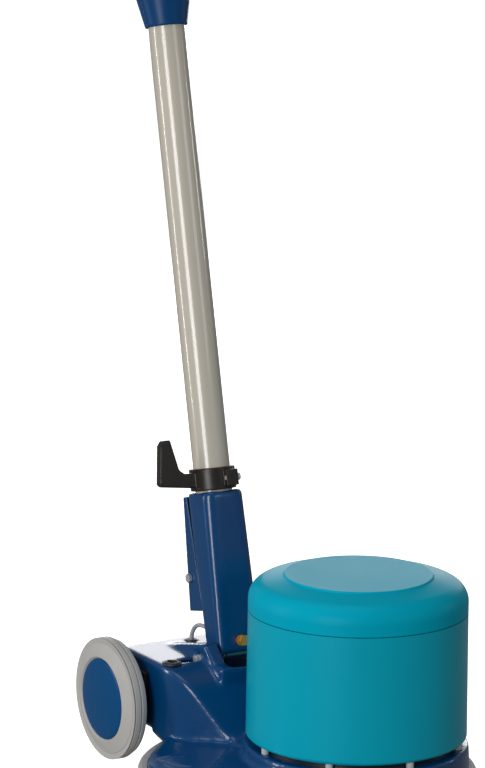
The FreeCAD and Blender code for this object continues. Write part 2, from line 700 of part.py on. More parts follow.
def wheel_frame(side):
    turn = 90 if side > 0 else -90
    return {"x": side * WHEEL_INSIDE, "y": D.axle_y, "z": D.axle_z, "axis": (0, 1, 0),
            "angle": turn}


def wheels():
    """Two pressed rims with solid rubber tyres and snapped-in hub caps."""
    width = D.rim_width
    seat = D.tyre_seat
    for name, side in (("left", -1), ("right", 1)):
        frame = wheel_frame(side)
        rim = turned(f"rim_turned_{name}", [
            (D.axle_radius + D.fit_gap, 0), (D.hub_radius, 0), (D.hub_radius, 8),
            (seat - 6, 8), (seat - 6, 2), (seat, 2), (seat, width), (seat - 6, width),
            (seat - 6, 14), (D.hub_radius, 14), (D.hub_radius, width - 6),
            (D.axle_radius + D.fit_gap, width - 6)])
        node(f"wheel_rim_{name}", rim, frame=frame)
        face = width + D.face_rise
        tread = []
        for count in (1, 0):
            middle = face - D.groove_first - count * D.groove_step
            tread += [(D.tyre_radius, middle - D.groove_width / 2),
                      (D.tyre_radius - D.groove_depth, middle),
                      (D.tyre_radius, middle + D.groove_width / 2)]
        tyre = turned(f"tyre_turned_{name}", [
            (seat, 1), (seat + 6, 0), (D.tyre_radius - 6, 0), (D.tyre_radius, 6), *tread,
            (D.tyre_radius, face - 6.5), (D.tyre_radius - 9, face),
            (D.hub_cap_radius + 0.3, face - 0.5), (D.hub_cap_radius + 0.3, width),
            (seat, width)],
            rounds=[(5, [(D.tyre_radius, 6)])])
        node(f"tyre_{name}", tyre, frame=frame)
        cap = turned(f"cap_turned_{name}", [
            (0, width), (D.hub_cap_radius, width), (D.hub_cap_radius, width + 3),
            (D.hub_cap_radius - 8, width + 5.5), (0, width + D.cap_rise)])
        node(f"hub_cap_{name}", cap, frame=frame)


def axle():
    reach = WHEEL_INSIDE + D.rim_width - 2
    node("axle", cylinder("axle_bar", D.axle_radius, 2 * reach, -reach, D.axle_y, D.axle_z,
                          ALONG_X))
    clips = []
    for side in (-1, 1):
        clip = ring(f"clip_{side}", D.axle_radius, D.axle_radius + 5, D.rim_width - 5.7, 2)
        clips.append(move(clip, **wheel_frame(side)))
    node("axle_clips", *clips)


def axle_blocks():
    half = D.block_length / 2
    blocks = []
    for side in (-1, 1):
        near, far = D.housing_half, D.housing_half + D.block_thick
        bottom = D.axle_z - D.block_drop
        low = (near if side > 0 else -far, D.axle_y - half, bottom)
        high = (far if side > 0 else -near, D.axle_y + half - 20, bottom + D.block_height)
        blocks.append(box(f"block_{side}", low, high))
    bore = cylinder("block_bore", D.axle_radius + D.fit_gap, 4 * D.housing_half,
                    -2 * D.housing_half, D.axle_y, D.axle_z, ALONG_X)
    node("axle_blocks", cut("block_left", blocks[0], bore), cut("block_right", blocks[1], bore))


# ------------------------------------------------------------ handle base group

ADJUSTER_RADIUS = as_size(3.9)


def rounded_section(half, front, back, radius, level):
    """A rounded rectangle across the handle, as one wire of eight edges."""
    corners = [(half, front), (half, back), (-half, back), (-half, front)]
    middle = Vector(0, (front + back) / 2, level)
    ends = []
    for x, y in corners:
        turn_x = math.copysign(radius, x)
        turn_y = math.copysign(radius, y - middle.y)
        centre = Vector(x - turn_x, y - turn_y, level)
        along_x, along_y = Vector(turn_x, 0, 0), Vector(0, turn_y, 0)
        first, last = (along_y, along_x) if x * (y - middle.y) < 0 else (along_x, along_y)
        bend = centre + (along_x + along_y).normalize() * radius
        ends.append((centre + first, bend, centre + last))
    edges = []
    for index, (first, bend, last) in enumerate(ends):
        edges.append(Part.Arc(first, bend, last).toShape())
        edges.append(Part.LineSegment(last, ends[(index + 1) % 4][0]).toShape())
    return Part.Wire(edges)


SOCKET_BACK = D.tube_offset + D.tube_radius + D.socket_wall


def handle_bracket():
    """The tapered hollow casting between the deck's cheeks and the tube."""
    foot, head, wall = D.bracket_foot_half.value, D.bracket_head_half.value, D.bracket_wall.value
    top = D.bracket_top.value
    front, foot_back, head_back = -D.bracket_front.value, D.bracket_back.value, SOCKET_BACK.value
    outside = Part.makeLoft([rounded_section(foot, front, foot_back, 7, 2),
                             rounded_section(head, front - 1, head_back, 15, top)], True, True)
    room_top = D.tube_bottom.value - 4
    share = room_top / top
    inner_half = foot - wall + (head - foot) * share
    inner_back = foot_back + (head_back - foot_back) * share - wall
    room = Part.makeLoft([rounded_section(foot - wall, front + wall, foot_back - wall, 2, 1),
                          rounded_section(inner_half, front + wall, inner_back, 8, room_top)],
                         True, True)
    form = shaped("bracket_form", outside)
    ear_face = D.bracket_foot_half - 0.5
    ears = [cylinder(f"ear_{side}", D.ear_radius, D.bracket_wall,
                     side * ear_face - D.bracket_wall / 2 * (1 + side), 0, 0, ALONG_X)
            for side in (-1, 1)]
    socket = cylinder("tube_socket", D.tube_radius, D.bracket_top, y=D.tube_offset,
                      z=D.tube_bottom - 5)
    bush_hole = cylinder("bush_hole", D.bush_radius, 4 * D.bracket_foot_half,
                         -2 * D.bracket_foot_half, 0, 0, ALONG_X)
    bolt_hole = cylinder("adjuster_hole", ADJUSTER_RADIUS + 0.1, D.bracket_wall + 7, 0,
                         -D.bracket_front - 4, D.adjuster_level, ALONG_Y)
    lead_slot = cylinder("lead_exit", D.lead_radius + 1, 20, -22, 12, 36, ALONG_Y)
    solid = fuse("bracket_solid", form, *ears)
    node("handle_bracket", cut("bracket_bored", solid, shaped("bracket_room", room), socket,
                               bush_hole, bolt_hole, lead_slot), frame=HANDLE_FRAME)


def bracket_back(level):
    """Where the bracket's rear face lies at a level up the handle."""
    rise = SOCKET_BACK - D.bracket_back
    return D.bracket_back + rise * (level - 2) / (D.bracket_top - 2)


def bracket_rear_cover():
    low, high = D.box_bottom, D.bracket_top - 6
    gap, wall = 0.2, D.box_wall
    outer = slab("rear_box_form", "YZ_Plane", [
        (bracket_back(low) + gap, low), (D.box_foot, low), (D.box_head, high),
        (bracket_back(high) + gap, high)], 2 * D.box_half)
    inner = slab("rear_box_room", "YZ_Plane", [
        (bracket_back(low) - 8, low + wall), (D.box_foot - wall, low + wall),
        (D.box_head - wall, high - wall), (bracket_back(high) - 8, high - wall)],
        2 * (D.box_half - wall))
    reach, spot = D.box_half, (D.box_bolt_y, D.box_bolt_level, ALONG_X)
    bolt_hole = cylinder("rear_bolt_hole", D.box_bolt_radius + D.fit_gap, 4 * reach, -2 * reach,
                         *spot)
    node("bracket_rear_cover", cut("rear_box", outer, inner, bolt_hole), frame=HANDLE_FRAME)
    half_flats, seat = D.box_bolt_flats / 2, 0.5
    shank = cylinder("rear_bolt_shank", D.box_bolt_radius, 2 * reach + 8, -reach - 4, *spot)
    head = hexagon("rear_bolt_head", half_flats, 4, -reach - 4 - seat, *spot[:2])
    nut = hexagon("rear_bolt_nut", half_flats, 4, reach + seat, *spot[:2])
    node("rear_cover_bolt", fuse("rear_bolt", shank, head, nut), frame=HANDLE_FRAME)


def hexagon(name, half_flats, height, x, y, z, turn=ALONG_X):
    prism = doc.addObject("Part::Prism", name)
    prism.Polygon = 6
    bind(prism, "Circumradius", as_size(half_flats) / math.cos(math.pi / 6))
    bind(prism, "Height", height)
    return move(prism, x, y, z, *turn)


def pivot():
    """The bolt through both cheeks, with the bushes the bracket turns on."""
    reach, thick = D.cheek_half, D.washer_thick
    spot = (D.pivot_y, D.pivot_z, ALONG_X)
    end = reach + thick + D.pivot_head - 0.5
    shank = cylinder("pivot_shank", D.pivot_bolt_radius, 2 * end, -end, *spot)
    heads = [cylinder("washer_left", D.washer_radius, thick, -reach - thick, *spot),
             cylinder("washer_right", D.washer_radius, thick, reach, *spot),
             hexagon("pivot_head", D.pivot_flats / 2, D.pivot_head,
                     -reach - thick - D.pivot_head, *spot[:2]),
             hexagon("pivot_nut", D.pivot_flats / 2, D.pivot_head, reach + thick, *spot[:2])]
    node("pivot_bolt", fuse("pivot_fastener", shank, *heads))
    bushes = []
    length = D.bracket_wall + 2.5
    for side in (-1, 1):
        low = side * (D.bracket_foot_half + 2) - length / 2 * (1 + side)
        sleeve = cylinder(f"bush_{side}", D.bush_radius, length, low, 0, 0, ALONG_X)
        bore = cylinder(f"bush_bore_{side}", D.pivot_bolt_radius + D.fit_gap, length, low, 0, 0,
                        ALONG_X)
        bushes.append(cut(f"bush_{side}_bored", sleeve, bore))
    node("pivot_bushes", *bushes, frame=HANDLE_FRAME)


def tilt_drum():
    """The fixed brake drum round the pivot bolt, on a foot in the deck's slot."""
    half = D.drum_half
    drum = cylinder("drum_round", D.drum_radius, 2 * half, -half, D.pivot_y, D.pivot_z, ALONG_X)
    foot = box("drum_foot", (-half, D.pivot_y - 6, D.slot_floor), (half, D.pivot_y + 6, D.pivot_z))
    bore = cylinder("drum_bore", D.pivot_bolt_radius, 2 * half, -half, D.pivot_y, D.pivot_z,
                    ALONG_X)
    node("tilt_drum", cut("drum_bored", fuse("drum_solid", drum, foot), bore))


SHOE_BOTTOM = D.drum_radius + 0.3
SHOE_TOP = SHOE_BOTTOM + D.shoe_length
BOX_LOW = D.head_start + D.head_shoulder
RELEASE_Y = D.tube_offset + D.release_offset
RELEASE_Z = BOX_LOW + D.release_lift
STOP_LOW = RELEASE_Z + D.arm_half + D.release_play
ROD_TOP = STOP_LOW + 2 * D.stop_height


def tilt_lock():
    """The brake shoe over the drum, its rod up the tube and its spring."""
    half = D.shoe_half
    node("brake_shoe", box("shoe_block", (-half, -5, SHOE_BOTTOM), (half, 5, SHOE_TOP)),
         frame=HANDLE_FRAME)
    node("lock_rod", cylinder("rod_bar", D.rod_radius, ROD_TOP - SHOE_TOP, z=SHOE_TOP),
         frame=HANDLE_FRAME)
    node("rod_collar", ring("rod_collar_ring", D.rod_radius, D.stop_radius, STOP_LOW,
                            D.stop_height), frame=HANDLE_FRAME)
    radius = D.spring_radius.value
    coil = Part.makeHelix(D.spring_pitch.value, D.spring_length.value, radius)
    wire = Part.Wire(Part.makeCircle(D.spring_wire.value, Vector(radius, 0, 0),
                                     Vector(0, 1, 0)))
    spring = Part.Wire(coil).makePipeShell([wire], True, True)
    node("lock_spring", move(shaped("lock_coil", spring), z=SHOE_TOP + 1), frame=HANDLE_FRAME)


def adjuster_bolt():
    """The stop bolt in the bracket's front wall, with its flanged collar."""
    face, level = -D.bracket_front, D.adjuster_level
    shank = cylinder("adjuster_shank", ADJUSTER_RADIUS, 14, 0, face - 10, level, ALONG_Y)
    head = hexagon("adjuster_head", D.adjuster_flats / 2, 7, 0, face - 12, level, ALONG_Y)
    collar = cylinder("adjuster_collar", D.adjuster_flats / 2 + 1, 3, 0, face - 3.2, level,
                      ALONG_Y)
    node("adjuster_bolt", fuse("adjuster", shank, head, collar), frame=HANDLE_FRAME)


# ---------------------------------------------------------------- handle group

def handle_tube():
    tube = ring("tube_pipe", D.tube_radius - D.tube_wall, D.tube_radius, D.tube_bottom,
                D.tube_top - D.tube_bottom)
    node("handle_tube", move(tube, y=D.tube_offset), frame=HANDLE_FRAME)


def hook_clamp():
    """The plastic ring clamped on the tube, with the lower cable hook on its side."""
    low = D.bracket_top + 1
    high = low + D.clamp_height
    outer = D.tube_radius + D.clamp_wall
    band = cylinder("clamp_band", outer, D.clamp_height, y=D.tube_offset, z=low)
    lug = box("clamp_lug", (0, D.tube_offset - outer - 8, low + 4),
              (18, D.tube_offset - outer + 8, high - 4))
    reach, tip = -D.hook_reach, high + D.hook_rise
    hook = slab("hook_form", "XZ_Plane", [
        (-D.tube_radius, low + 4), (reach + 4, low + 11), (reach, low + 15),
        (reach + D.hook_lean, tip - 7), (reach + D.hook_lean + 5, tip),
        (reach + D.hook_lean + 15, tip), (reach + 31, high + 2), (reach + 38, high - 4),
        (-D.tube_radius, high - 6)], D.hook_width)
    bore = cylinder("clamp_bore", D.tube_radius, 2 * D.clamp_height, y=D.tube_offset, z=low - 10)
    screw_hole = cylinder("clamp_hole", 3, 40, -6, D.tube_offset - outer - 4,
                          low + D.clamp_height / 2, ALONG_X)
    solid = fuse("clamp_solid", band, lug, move(hook, y=D.tube_offset))
    node("hook_clamp", cut("clamp_bored", solid, bore, screw_hole), frame=HANDLE_FRAME)
    shank = cylinder("clamp_shank", 2.95, 20, 0, D.tube_offset - outer - 4,
                     low + D.clamp_height / 2, ALONG_X)
    head = cylinder("clamp_head", 5, 3, 18, D.tube_offset - outer - 4,
                    low + D.clamp_height / 2, ALONG_X)
    node("clamp_screw", fuse("clamp_fastener", shank, head), frame=HANDLE_FRAME)


def lead_path(points):
    """Straight runs joined by tangent arcs, with the arc radii printed."""
    edges, start = [], points[0]
    for before, corner, after in zip(points, points[1:], points[2:]):
        back, ahead = (before - corner), (after - corner)
        shorter = min(back.Length, ahead.Length)
        half_turn = (math.pi - back.getAngle(ahead)) / 2
        reach = 0.45 * shorter
        print(f"lead arc radius {reach / math.tan(half_turn):.1f}")
        first = corner + back.normalize() * reach
        last = corner + ahead.normalize() * reach
        inward = (back + ahead).normalize()
        radius = reach / math.tan(half_turn)
        bend = corner + inward * (radius / math.cos(half_turn) - radius)
        edges.append(Part.LineSegment(start, first).toShape())
        edges.append(Part.Arc(first, bend, last).toShape())
        start = last
    edges.append(Part.LineSegment(start, points[-1]).toShape())
    return Part.Wire(edges)


def motor_lead():
    """The grey lead that loops from the bracket into the rear housing."""
    hole = Vector(LEAD_X.value, LEAD_Y.value, D.housing_top.value)
    frame = FreeCAD.Placement(Vector(0, D.pivot_y.value, D.pivot_z.value),
                              FreeCAD.Rotation(Vector(-1, 0, 0), D.handle_tilt.value))
    points = [frame.multVec(Vector(-22, 14, 36)), frame.multVec(Vector(-22, 34, 37)),
              hole + Vector(2, -21, 28), hole + Vector(1, -9, 23.5), hole + Vector(0, -2, 13),
              hole + Vector(0, 0, 2), hole + Vector(0, 0, -12)]
    path = lead_path(points)
    radius = D.lead_radius.value
    start = Part.Wire(Part.makeCircle(radius, points[0], points[1] - points[0]))
    tube = path.makePipeShell([start], True, True)
    whole = math.pi * radius ** 2 * path.Length
    print(f"lead length {path.Length:.1f}, volume over section times length "
          f"{tube.Volume / whole:.4f}")
    node("motor_lead", shaped("lead_tube", tube))
    grommet = turned("lead_grommet_turned", [
        (D.lead_radius + 0.5, D.housing_top - 5), (D.lead_radius + 2.9, D.housing_top - 5),
        (D.lead_radius + 2.9, D.housing_top), (D.lead_radius + 5, D.housing_top),
        (D.lead_radius + 4, D.housing_top + 3), (D.lead_radius + 0.5, D.housing_top + 3)])
    node("lead_grommet", move(grommet, LEAD_X, LEAD_Y))


# ------------------------------------------------------------------ head group

HEAD_TOP = D.head_start + D.head_height
GLAND_X = -D.head_half + D.gland_inset
GLAND_Z = BOX_LOW + D.gland_lift
BUTTON_LOW = HEAD_TOP - D.button_drop


def head_form(name, inset):
    """The moulded head: a conical neck under a rounded box."""
    half = D.head_half - inset
    neck = move(turned(f"{name}_neck", [
        (0, D.head_start), (D.head_neck_radius - inset, D.head_start),
        (D.head_neck_radius + 14 - inset, BOX_LOW + 8), (0, BOX_LOW + 8)]), y=D.tube_offset)
    front, back = -D.head_front + inset, D.head_back - inset
    low, high = BOX_LOW + inset, HEAD_TOP - inset
    case = slab(f"{name}_case", "YZ_Plane", [
        (front, low + 10), (front + D.front_chamfer, low), (back - 8, low), (back, low + 12),
        (back, HEAD_TOP - D.back_chamfer - 4), (back - D.back_chamfer, high),
        (front + 12, high), (front, HEAD_TOP - D.front_chamfer)], 2 * half)
    return fuse(name, neck, case)


def head_housing():
    """Front and rear mouldings that meet in the tube's plane."""
    hollow = cut("head_hollow", head_form("head_outside", as_size(0)),
                 head_form("head_inside", D.head_wall))
    socket = cylinder("head_socket", D.tube_radius, D.tube_top - D.head_start + 1,
                      y=D.tube_offset, z=D.head_start - 1)
    bars = cylinder("bar_holes", D.bar_radius + 0.1, 4 * D.head_half, -2 * D.head_half,
                    D.grip_offset, D.head_start + D.grip_level, ALONG_X)
    low_bars = cylinder("low_bar_holes", D.bar_radius + 0.1, 4 * D.head_half, -2 * D.head_half,
                        0, D.head_start + D.low_bar_level, ALONG_X)
    half = D.button_half + D.button_play
    button = box("button_hole", (-half, D.head_back - 10, BUTTON_LOW),
                 (half, D.head_back + 10, BUTTON_LOW + 2 * half))
    gland = cylinder("gland_hole", D.gland_radius + 0.1, 20, GLAND_X, D.head_back - 10, GLAND_Z,
                     ALONG_Y)
    slot_half = D.arm_width / 2 + 2
    lever = box("release_hole", (-slot_half, D.head_back - 14, RELEASE_Z - 16),
                (slot_half, D.head_back + 10, RELEASE_Z + 6))
    rib_x, rib_half = D.arm_width / 2 + 2.5, D.rib_thick / 2
    ears = [box(f"release_rib_{side}",
                (rib_x * side - rib_half, D.tube_offset + 1.5, RELEASE_Z - 7),
                (rib_x * side + rib_half, D.head_back - 2, RELEASE_Z + 7)) for side in (-1, 1)]
    pin_hole = cylinder("release_pin_hole", D.lever_pin_radius + D.fit_gap, 60, -30, RELEASE_Y,
                        RELEASE_Z, ALONG_X)
    bored = cut("head_bored", fuse("head_eared", hollow, *ears), socket, bars, low_bars, button,
                gland, lever, pin_hole)
    reach = 300
    front = box("front_half", (-reach, -reach, 0), (reach, D.tube_offset - 0.1, 2 * HEAD_TOP))
    rear = box("rear_half", (-reach, D.tube_offset + 0.1, 0), (reach, reach, 2 * HEAD_TOP))
    node("head_front", common("head_front_shell", bored, front), frame=HANDLE_FRAME)
    node("head_rear", common("head_rear_shell", bored, rear), frame=HANDLE_FRAME)


def handle_bars():
    """Closed grip loops, one each side, of bent steel tube with sleeves."""
    radius = D.bar_radius.value
    reach = D.grip_reach.value
    back, level = D.grip_offset.value, D.head_start.value + D.grip_level.value
    low = D.head_start.value + D.low_bar_level.value
    bend = D.bar_bend.value
    start_x = D.head_half.value - 12
    loops = []
    for side in (-1, 1):
        corners = [Vector(side * start_x, back, level), Vector(side * reach, back, level),
                   Vector(side * reach, 0, low), Vector(side * start_x, 0, low)]
        edges, start = [], corners[0]
        for before, corner, after in zip(corners, corners[1:], corners[2:]):
            to_back = (before - corner).normalize()
            to_ahead = (after - corner).normalize()
            half = to_back.getAngle(to_ahead) / 2
            run = min(bend / math.tan(half), 0.45 * (after - corner).Length)
            turn = run * math.tan(half)
            middle = corner + (to_back + to_ahead).normalize() * (turn / math.sin(half) - turn)
            edges.append(Part.LineSegment(start, corner + to_back * run).toShape())
            edges.append(Part.Arc(corner + to_back * run, middle,
                                  corner + to_ahead * run).toShape())
            start = corner + to_ahead * run
        edges.append(Part.LineSegment(start, corners[-1]).toShape())
        path = Part.Wire(edges)
        section = Part.Wire(Part.makeCircle(radius, corners[0], Vector(1, 0, 0)))
        loops.append(shaped(f"loop_{side}", path.makePipeShell([section], True, True)))
    node("grip_bars", *loops, frame=HANDLE_FRAME)
    sleeves = []
    for side in (-1, 1):
        low_x = D.head_half + 6 if side > 0 else -D.grip_reach + 32
        length = D.grip_reach - D.head_half - 38
        sleeve = cylinder(f"sleeve_{side}", D.grip_radius, length, low_x, D.grip_offset,
                          D.head_start + D.grip_level, ALONG_X)
        bore = cylinder(f"sleeve_bore_{side}", D.bar_radius, length, low_x, D.grip_offset,
                        D.head_start + D.grip_level, ALONG_X)
        sleeves.append(cut(f"sleeve_{side}_bored", sleeve, bore))
    node("hand_grips", *sleeves, frame=HANDLE_FRAME)


LEVER_Z = D.head_start + D.grip_level - D.grip_radius - D.lever_gap


def switch_levers():
    """Two levers under the grips, on pins in lugs beside the head."""
    for name, side in (("left", -1), ("right", 1)):
        root = D.head_half + 12
        tip = root + D.lever_length
        blade = slab(f"lever_blade_{name}", "XZ_Plane", [
            (side * (root - 8), LEVER_Z - 6), (side * root, LEVER_Z - 8),
            (side * (tip - 4), LEVER_Z - 2), (side * tip, LEVER_Z + 2),
            (side * (tip - 6), LEVER_Z + 4), (side * root, LEVER_Z + 6),
            (side * (root - 8), LEVER_Z + 6)], D.lever_width)
        bore = cylinder(f"lever_bore_{name}", D.lever_pin_radius + D.fit_gap, 60, side * root, -30,
                        LEVER_Z, ALONG_Y)
        moved = cut(f"lever_{name}_bored", blade, bore)
        node(f"switch_lever_{name}", move(moved, y=D.grip_offset), frame=HANDLE_FRAME)
    lugs = []
    inner = D.lever_width / 2 + 2
    outer = inner + D.lug_thick
    for side in (-1, 1):
        near, far = (D.head_half, D.head_half + D.lug_reach)
        left, right = (near, far) if side > 0 else (-far, -near)
        pair = [box(f"lever_lug_{side}_{count}", (left, D.grip_offset + low, LEVER_Z - 8),
                    (right, D.grip_offset + high, LEVER_Z + 8))
                for count, (low, high) in enumerate(((-outer, -inner), (inner, outer)))]
        pin = cylinder(f"lever_pin_{side}", D.lever_pin_radius, 2 * (outer + 3),
                       side * (D.head_half + 12), D.grip_offset - outer - 3, LEVER_Z, ALONG_Y)
        lugs.append(fuse(f"lug_set_{side}", pin, *pair))
    node("lever_brackets", *lugs, frame=HANDLE_FRAME)


def head_controls():
    half = D.button_half
    low = BUTTON_LOW + D.button_play
    cap = box("button_cap", (-half, D.head_back - 9, low),
              (half, D.head_back + D.button_proud, low + 2 * half))
    node("lock_button", cap, frame=HANDLE_FRAME)
    wall = D.head_back - D.head_wall
    block = box("switch_body", (18, wall - 24, BOX_LOW + 20), (58, wall, BOX_LOW + 54))
    node("switch_block", block, frame=HANDLE_FRAME)
    paddle = D.head_back + D.paddle_reach
    arm, wide, start = D.arm_width / 2, D.paddle_half, D.rod_radius + 2.2
    blade = slab("release_blade", "XY_Plane", [
        (-arm, start), (arm, start), (arm, paddle - 28), (wide, paddle - 20), (wide, paddle),
        (-wide, paddle), (-wide, paddle - 20), (-arm, paddle - 28)], 2 * D.arm_half,
        rounds=[(5, [Vector(edge * wide.value, paddle.value, 0) for edge in (-1, 1)])])
    pin_half = arm + D.rib_thick + 1
    pin = cylinder("release_pin", D.lever_pin_radius, 2 * pin_half, -pin_half, RELEASE_Y,
                   RELEASE_Z, ALONG_X)
    node("release_lever", fuse("release_with_pin", move(blade, z=RELEASE_Z), pin),
         frame=HANDLE_FRAME)
    body = D.gland_radius
    gland = turned("gland_turned", [
        (4.2, -6), (body, -6), (body, 0), (body + 4.1, 0), (body + 4.1, 3), (body, 3),
        (body - 1.4, 14), (4.2, 14)])
    node("mains_gland", move(gland, GLAND_X, D.head_back, GLAND_Z, *ALONG_Y), frame=HANDLE_FRAME)


polishing_pad()
pad_driver()
pad_lock()
drive_hub()
output_spindle()
spindle_bearings()
gear_case()
drive_gears()
deck()
bumper()
platform_grommets()
motor_end_shields()
motor_housing()
stator()
rotor()
motor_bearings()
cooling_fan()
capacitors()
motor_cover()
cover_lid()
cover_spacers()
wheels()
axle()
axle_blocks()
handle_bracket()
bracket_rear_cover()
pivot()
tilt_drum()
tilt_lock()
adjuster_bolt()
handle_tube()
hook_clamp()
motor_lead()
head_housing()
handle_bars()
switch_levers()
head_controls()

doc.recompute()
for thing in doc.Objects:
    if "Invalid" in thing.State or "Error" in thing.State:
        raise RuntimeError(f"{thing.Label} is {thing.State}")
for thing in nodes:
    shape = thing.Shape
    if shape.isNull() or not shape.isValid() or shape.Volume <= 0:
        raise RuntimeError(f"{thing.Label} has no sound shape")

os.makedirs("parts", exist_ok=True)
for thing in nodes:
    thing.Shape.exportStep(f"parts/{thing.Label}.step")
print(f"{len(nodes)} sub-parts written")
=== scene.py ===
import math

import bmesh
import bpy
from mathutils import Matrix, Vector, noise


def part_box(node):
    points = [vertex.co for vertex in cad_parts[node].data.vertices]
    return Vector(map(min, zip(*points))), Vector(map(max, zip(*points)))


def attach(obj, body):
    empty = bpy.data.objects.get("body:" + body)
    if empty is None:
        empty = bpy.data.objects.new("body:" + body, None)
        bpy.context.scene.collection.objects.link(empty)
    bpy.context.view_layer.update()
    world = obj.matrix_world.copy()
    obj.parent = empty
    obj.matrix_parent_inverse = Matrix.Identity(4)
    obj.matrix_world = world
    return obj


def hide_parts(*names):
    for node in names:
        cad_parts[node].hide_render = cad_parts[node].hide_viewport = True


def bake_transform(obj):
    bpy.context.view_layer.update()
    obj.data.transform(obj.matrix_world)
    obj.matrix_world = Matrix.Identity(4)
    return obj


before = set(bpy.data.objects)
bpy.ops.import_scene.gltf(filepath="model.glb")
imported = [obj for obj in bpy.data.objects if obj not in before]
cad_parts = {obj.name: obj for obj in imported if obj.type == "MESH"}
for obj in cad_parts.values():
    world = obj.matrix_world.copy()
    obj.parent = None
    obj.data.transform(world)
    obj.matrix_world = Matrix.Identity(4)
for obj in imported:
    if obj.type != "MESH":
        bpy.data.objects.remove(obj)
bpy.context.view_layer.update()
MM = 0.001

# --- Camera ------------------------------------------------------------------------------------
# A long lens at the machine's front left, above the handle's height. It looks a little down on
# the deck and leans by half a degree.
CAMERA_PLACE = Vector((-2.4635, -3.9378, 1.5033))
FOCAL_LENGTH, FAR_CLIP = 173.4, 50
AZIMUTH, ELEVATION, ROLL = (math.radians(angle) for angle in (-30.92, 11.50, 0.59))

across = Vector((math.cos(AZIMUTH), math.sin(AZIMUTH), 0))
towards = Vector((math.sin(AZIMUTH) * math.cos(ELEVATION),
                  -math.cos(AZIMUTH) * math.cos(ELEVATION), math.sin(ELEVATION)))
lean = Matrix.Rotation(ROLL, 3, towards)
camera = bpy.data.objects.new("camera", bpy.data.cameras.new("camera"))
camera.data.lens = FOCAL_LENGTH
camera.data.clip_end = FAR_CLIP
axes = (lean @ across, lean @ towards.cross(across), towards)
camera.matrix_world = Matrix(axes).transposed().to_4x4()
camera.location = CAMERA_PLACE
bpy.context.scene.collection.objects.link(camera)
bpy.context.scene.camera = camera


# --- Motor lead --------------------------------------------------------------------------------
# A grey PVC-sheathed lead, extruded, that leaves the handle bracket's side, rises a little and
# drops through a grommet into the deck.
def linear(code):
    """An sRGB hex colour as the linear red, green, blue and alpha that a shader takes."""
    parts = [int(code[i:i + 2], 16) / 255 for i in (1, 3, 5)]
    return [c / 12.92 if c <= 0.04045 else ((c + 0.055) / 1.055) ** 2.4 for c in parts] + [1]


def add(tree, kind, inputs=None, **settings):
    """Adds a node, sets it up, and gives each input a value or a link from another socket."""
    node = tree.nodes.new(kind)
    for name, value in settings.items():
        setattr(node, name, value)
    for name, value in (inputs or {}).items():
        if isinstance(value, bpy.types.NodeSocket):
            tree.links.new(value, node.inputs[name])
        else:
            node.inputs[name].default_value = value
    return node


def finish(name, pale, dark, drift_mm, rough, grain_mm, grain_depth_mm, stretch=(1, 1, 1),
           **fixed):
    """A finish that drifts between two colours and roughnesses over drift_mm, under a fine grain.

    stretch scales the grain along each axis, as rolling, turning or brushing draws it out, and
    fixed sets other inputs of the shader, with _ for a space.
    """
    material = bpy.data.materials.new(name)
    material.use_nodes = True
    tree = material.node_tree
    shader = tree.nodes["Principled BSDF"]
    for socket, value in fixed.items():
        shader.inputs[socket.replace("_", " ")].default_value = value
    place = add(tree, "ShaderNodeTexCoord").outputs["Object"]
    drift = add(tree, "ShaderNodeTexNoise",
                {"Vector": place, "Scale": 1 / (drift_mm * MM), "Detail": 4.0,
                 "Roughness": 0.6}).outputs["Fac"]
    colour = add(tree, "ShaderNodeMix", {"Factor": drift}, data_type="RGBA")
    first, second = (socket for socket in colour.inputs if socket.type == "RGBA")
    first.default_value, second.default_value = linear(pale), linear(dark)
    mixed = next(socket for socket in colour.outputs if socket.type == "RGBA")
    tree.links.new(mixed, shader.inputs["Base Color"])
    gloss = add(tree, "ShaderNodeMapRange", {"Value": drift, "From Min": 0.25, "From Max": 0.75,
                                             "To Min": rough[0], "To Max": rough[1]})
    tree.links.new(gloss.outputs["Result"], shader.inputs["Roughness"])
    drawn = add(tree, "ShaderNodeMapping", {"Vector": place, "Scale": stretch})
    grain = add(tree, "ShaderNodeTexNoise",
                {"Vector": drawn.outputs["Vector"], "Scale": 1 / (grain_mm * MM),
                 "Detail": 2.0}).outputs["Fac"]
    bump = add(tree, "ShaderNodeBump", {"Height": grain, "Distance": grain_depth_mm * MM,
                                        "Strength": 1.0})
    tree.links.new(bump.outputs["Normal"], shader.inputs["Normal"])
    return material


def in_scene(name, mesh, material):
    """Links a new object at the origin and gives it its material, if it has one."""
    piece = bpy.data.objects.new(name, mesh)
    bpy.context.scene.collection.objects.link(piece)
    if material:
        mesh.materials.clear()
        mesh.materials.append(material)
    return piece


def plain(piece, material):
    """Turns what a piece's curve or modifiers give into its plain mesh, and drops them."""
    bpy.context.view_layer.update()
    ready = piece.evaluated_get(bpy.context.evaluated_depsgraph_get())
    mesh = bpy.data.meshes.new_from_object(ready)
    name = piece.name
    bpy.data.objects.remove(piece)
    return in_scene(name, mesh, material)


def smooth(mesh, sharp_degrees=38):
    """Shades a mesh smooth, with hard edges where its faces turn by more than sharp_degrees."""
    mesh.polygons.foreach_set("use_smooth", [True] * len(mesh.polygons))
    mesh.set_sharp_from_angle(angle=math.radians(sharp_degrees))


def seat(piece, body, slot, *nodes):
    """The piece rides on a body and stands for the CAD nodes. Its slot argument is not used."""
    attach(piece, body)
    if nodes:
        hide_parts(*nodes)
    return piece


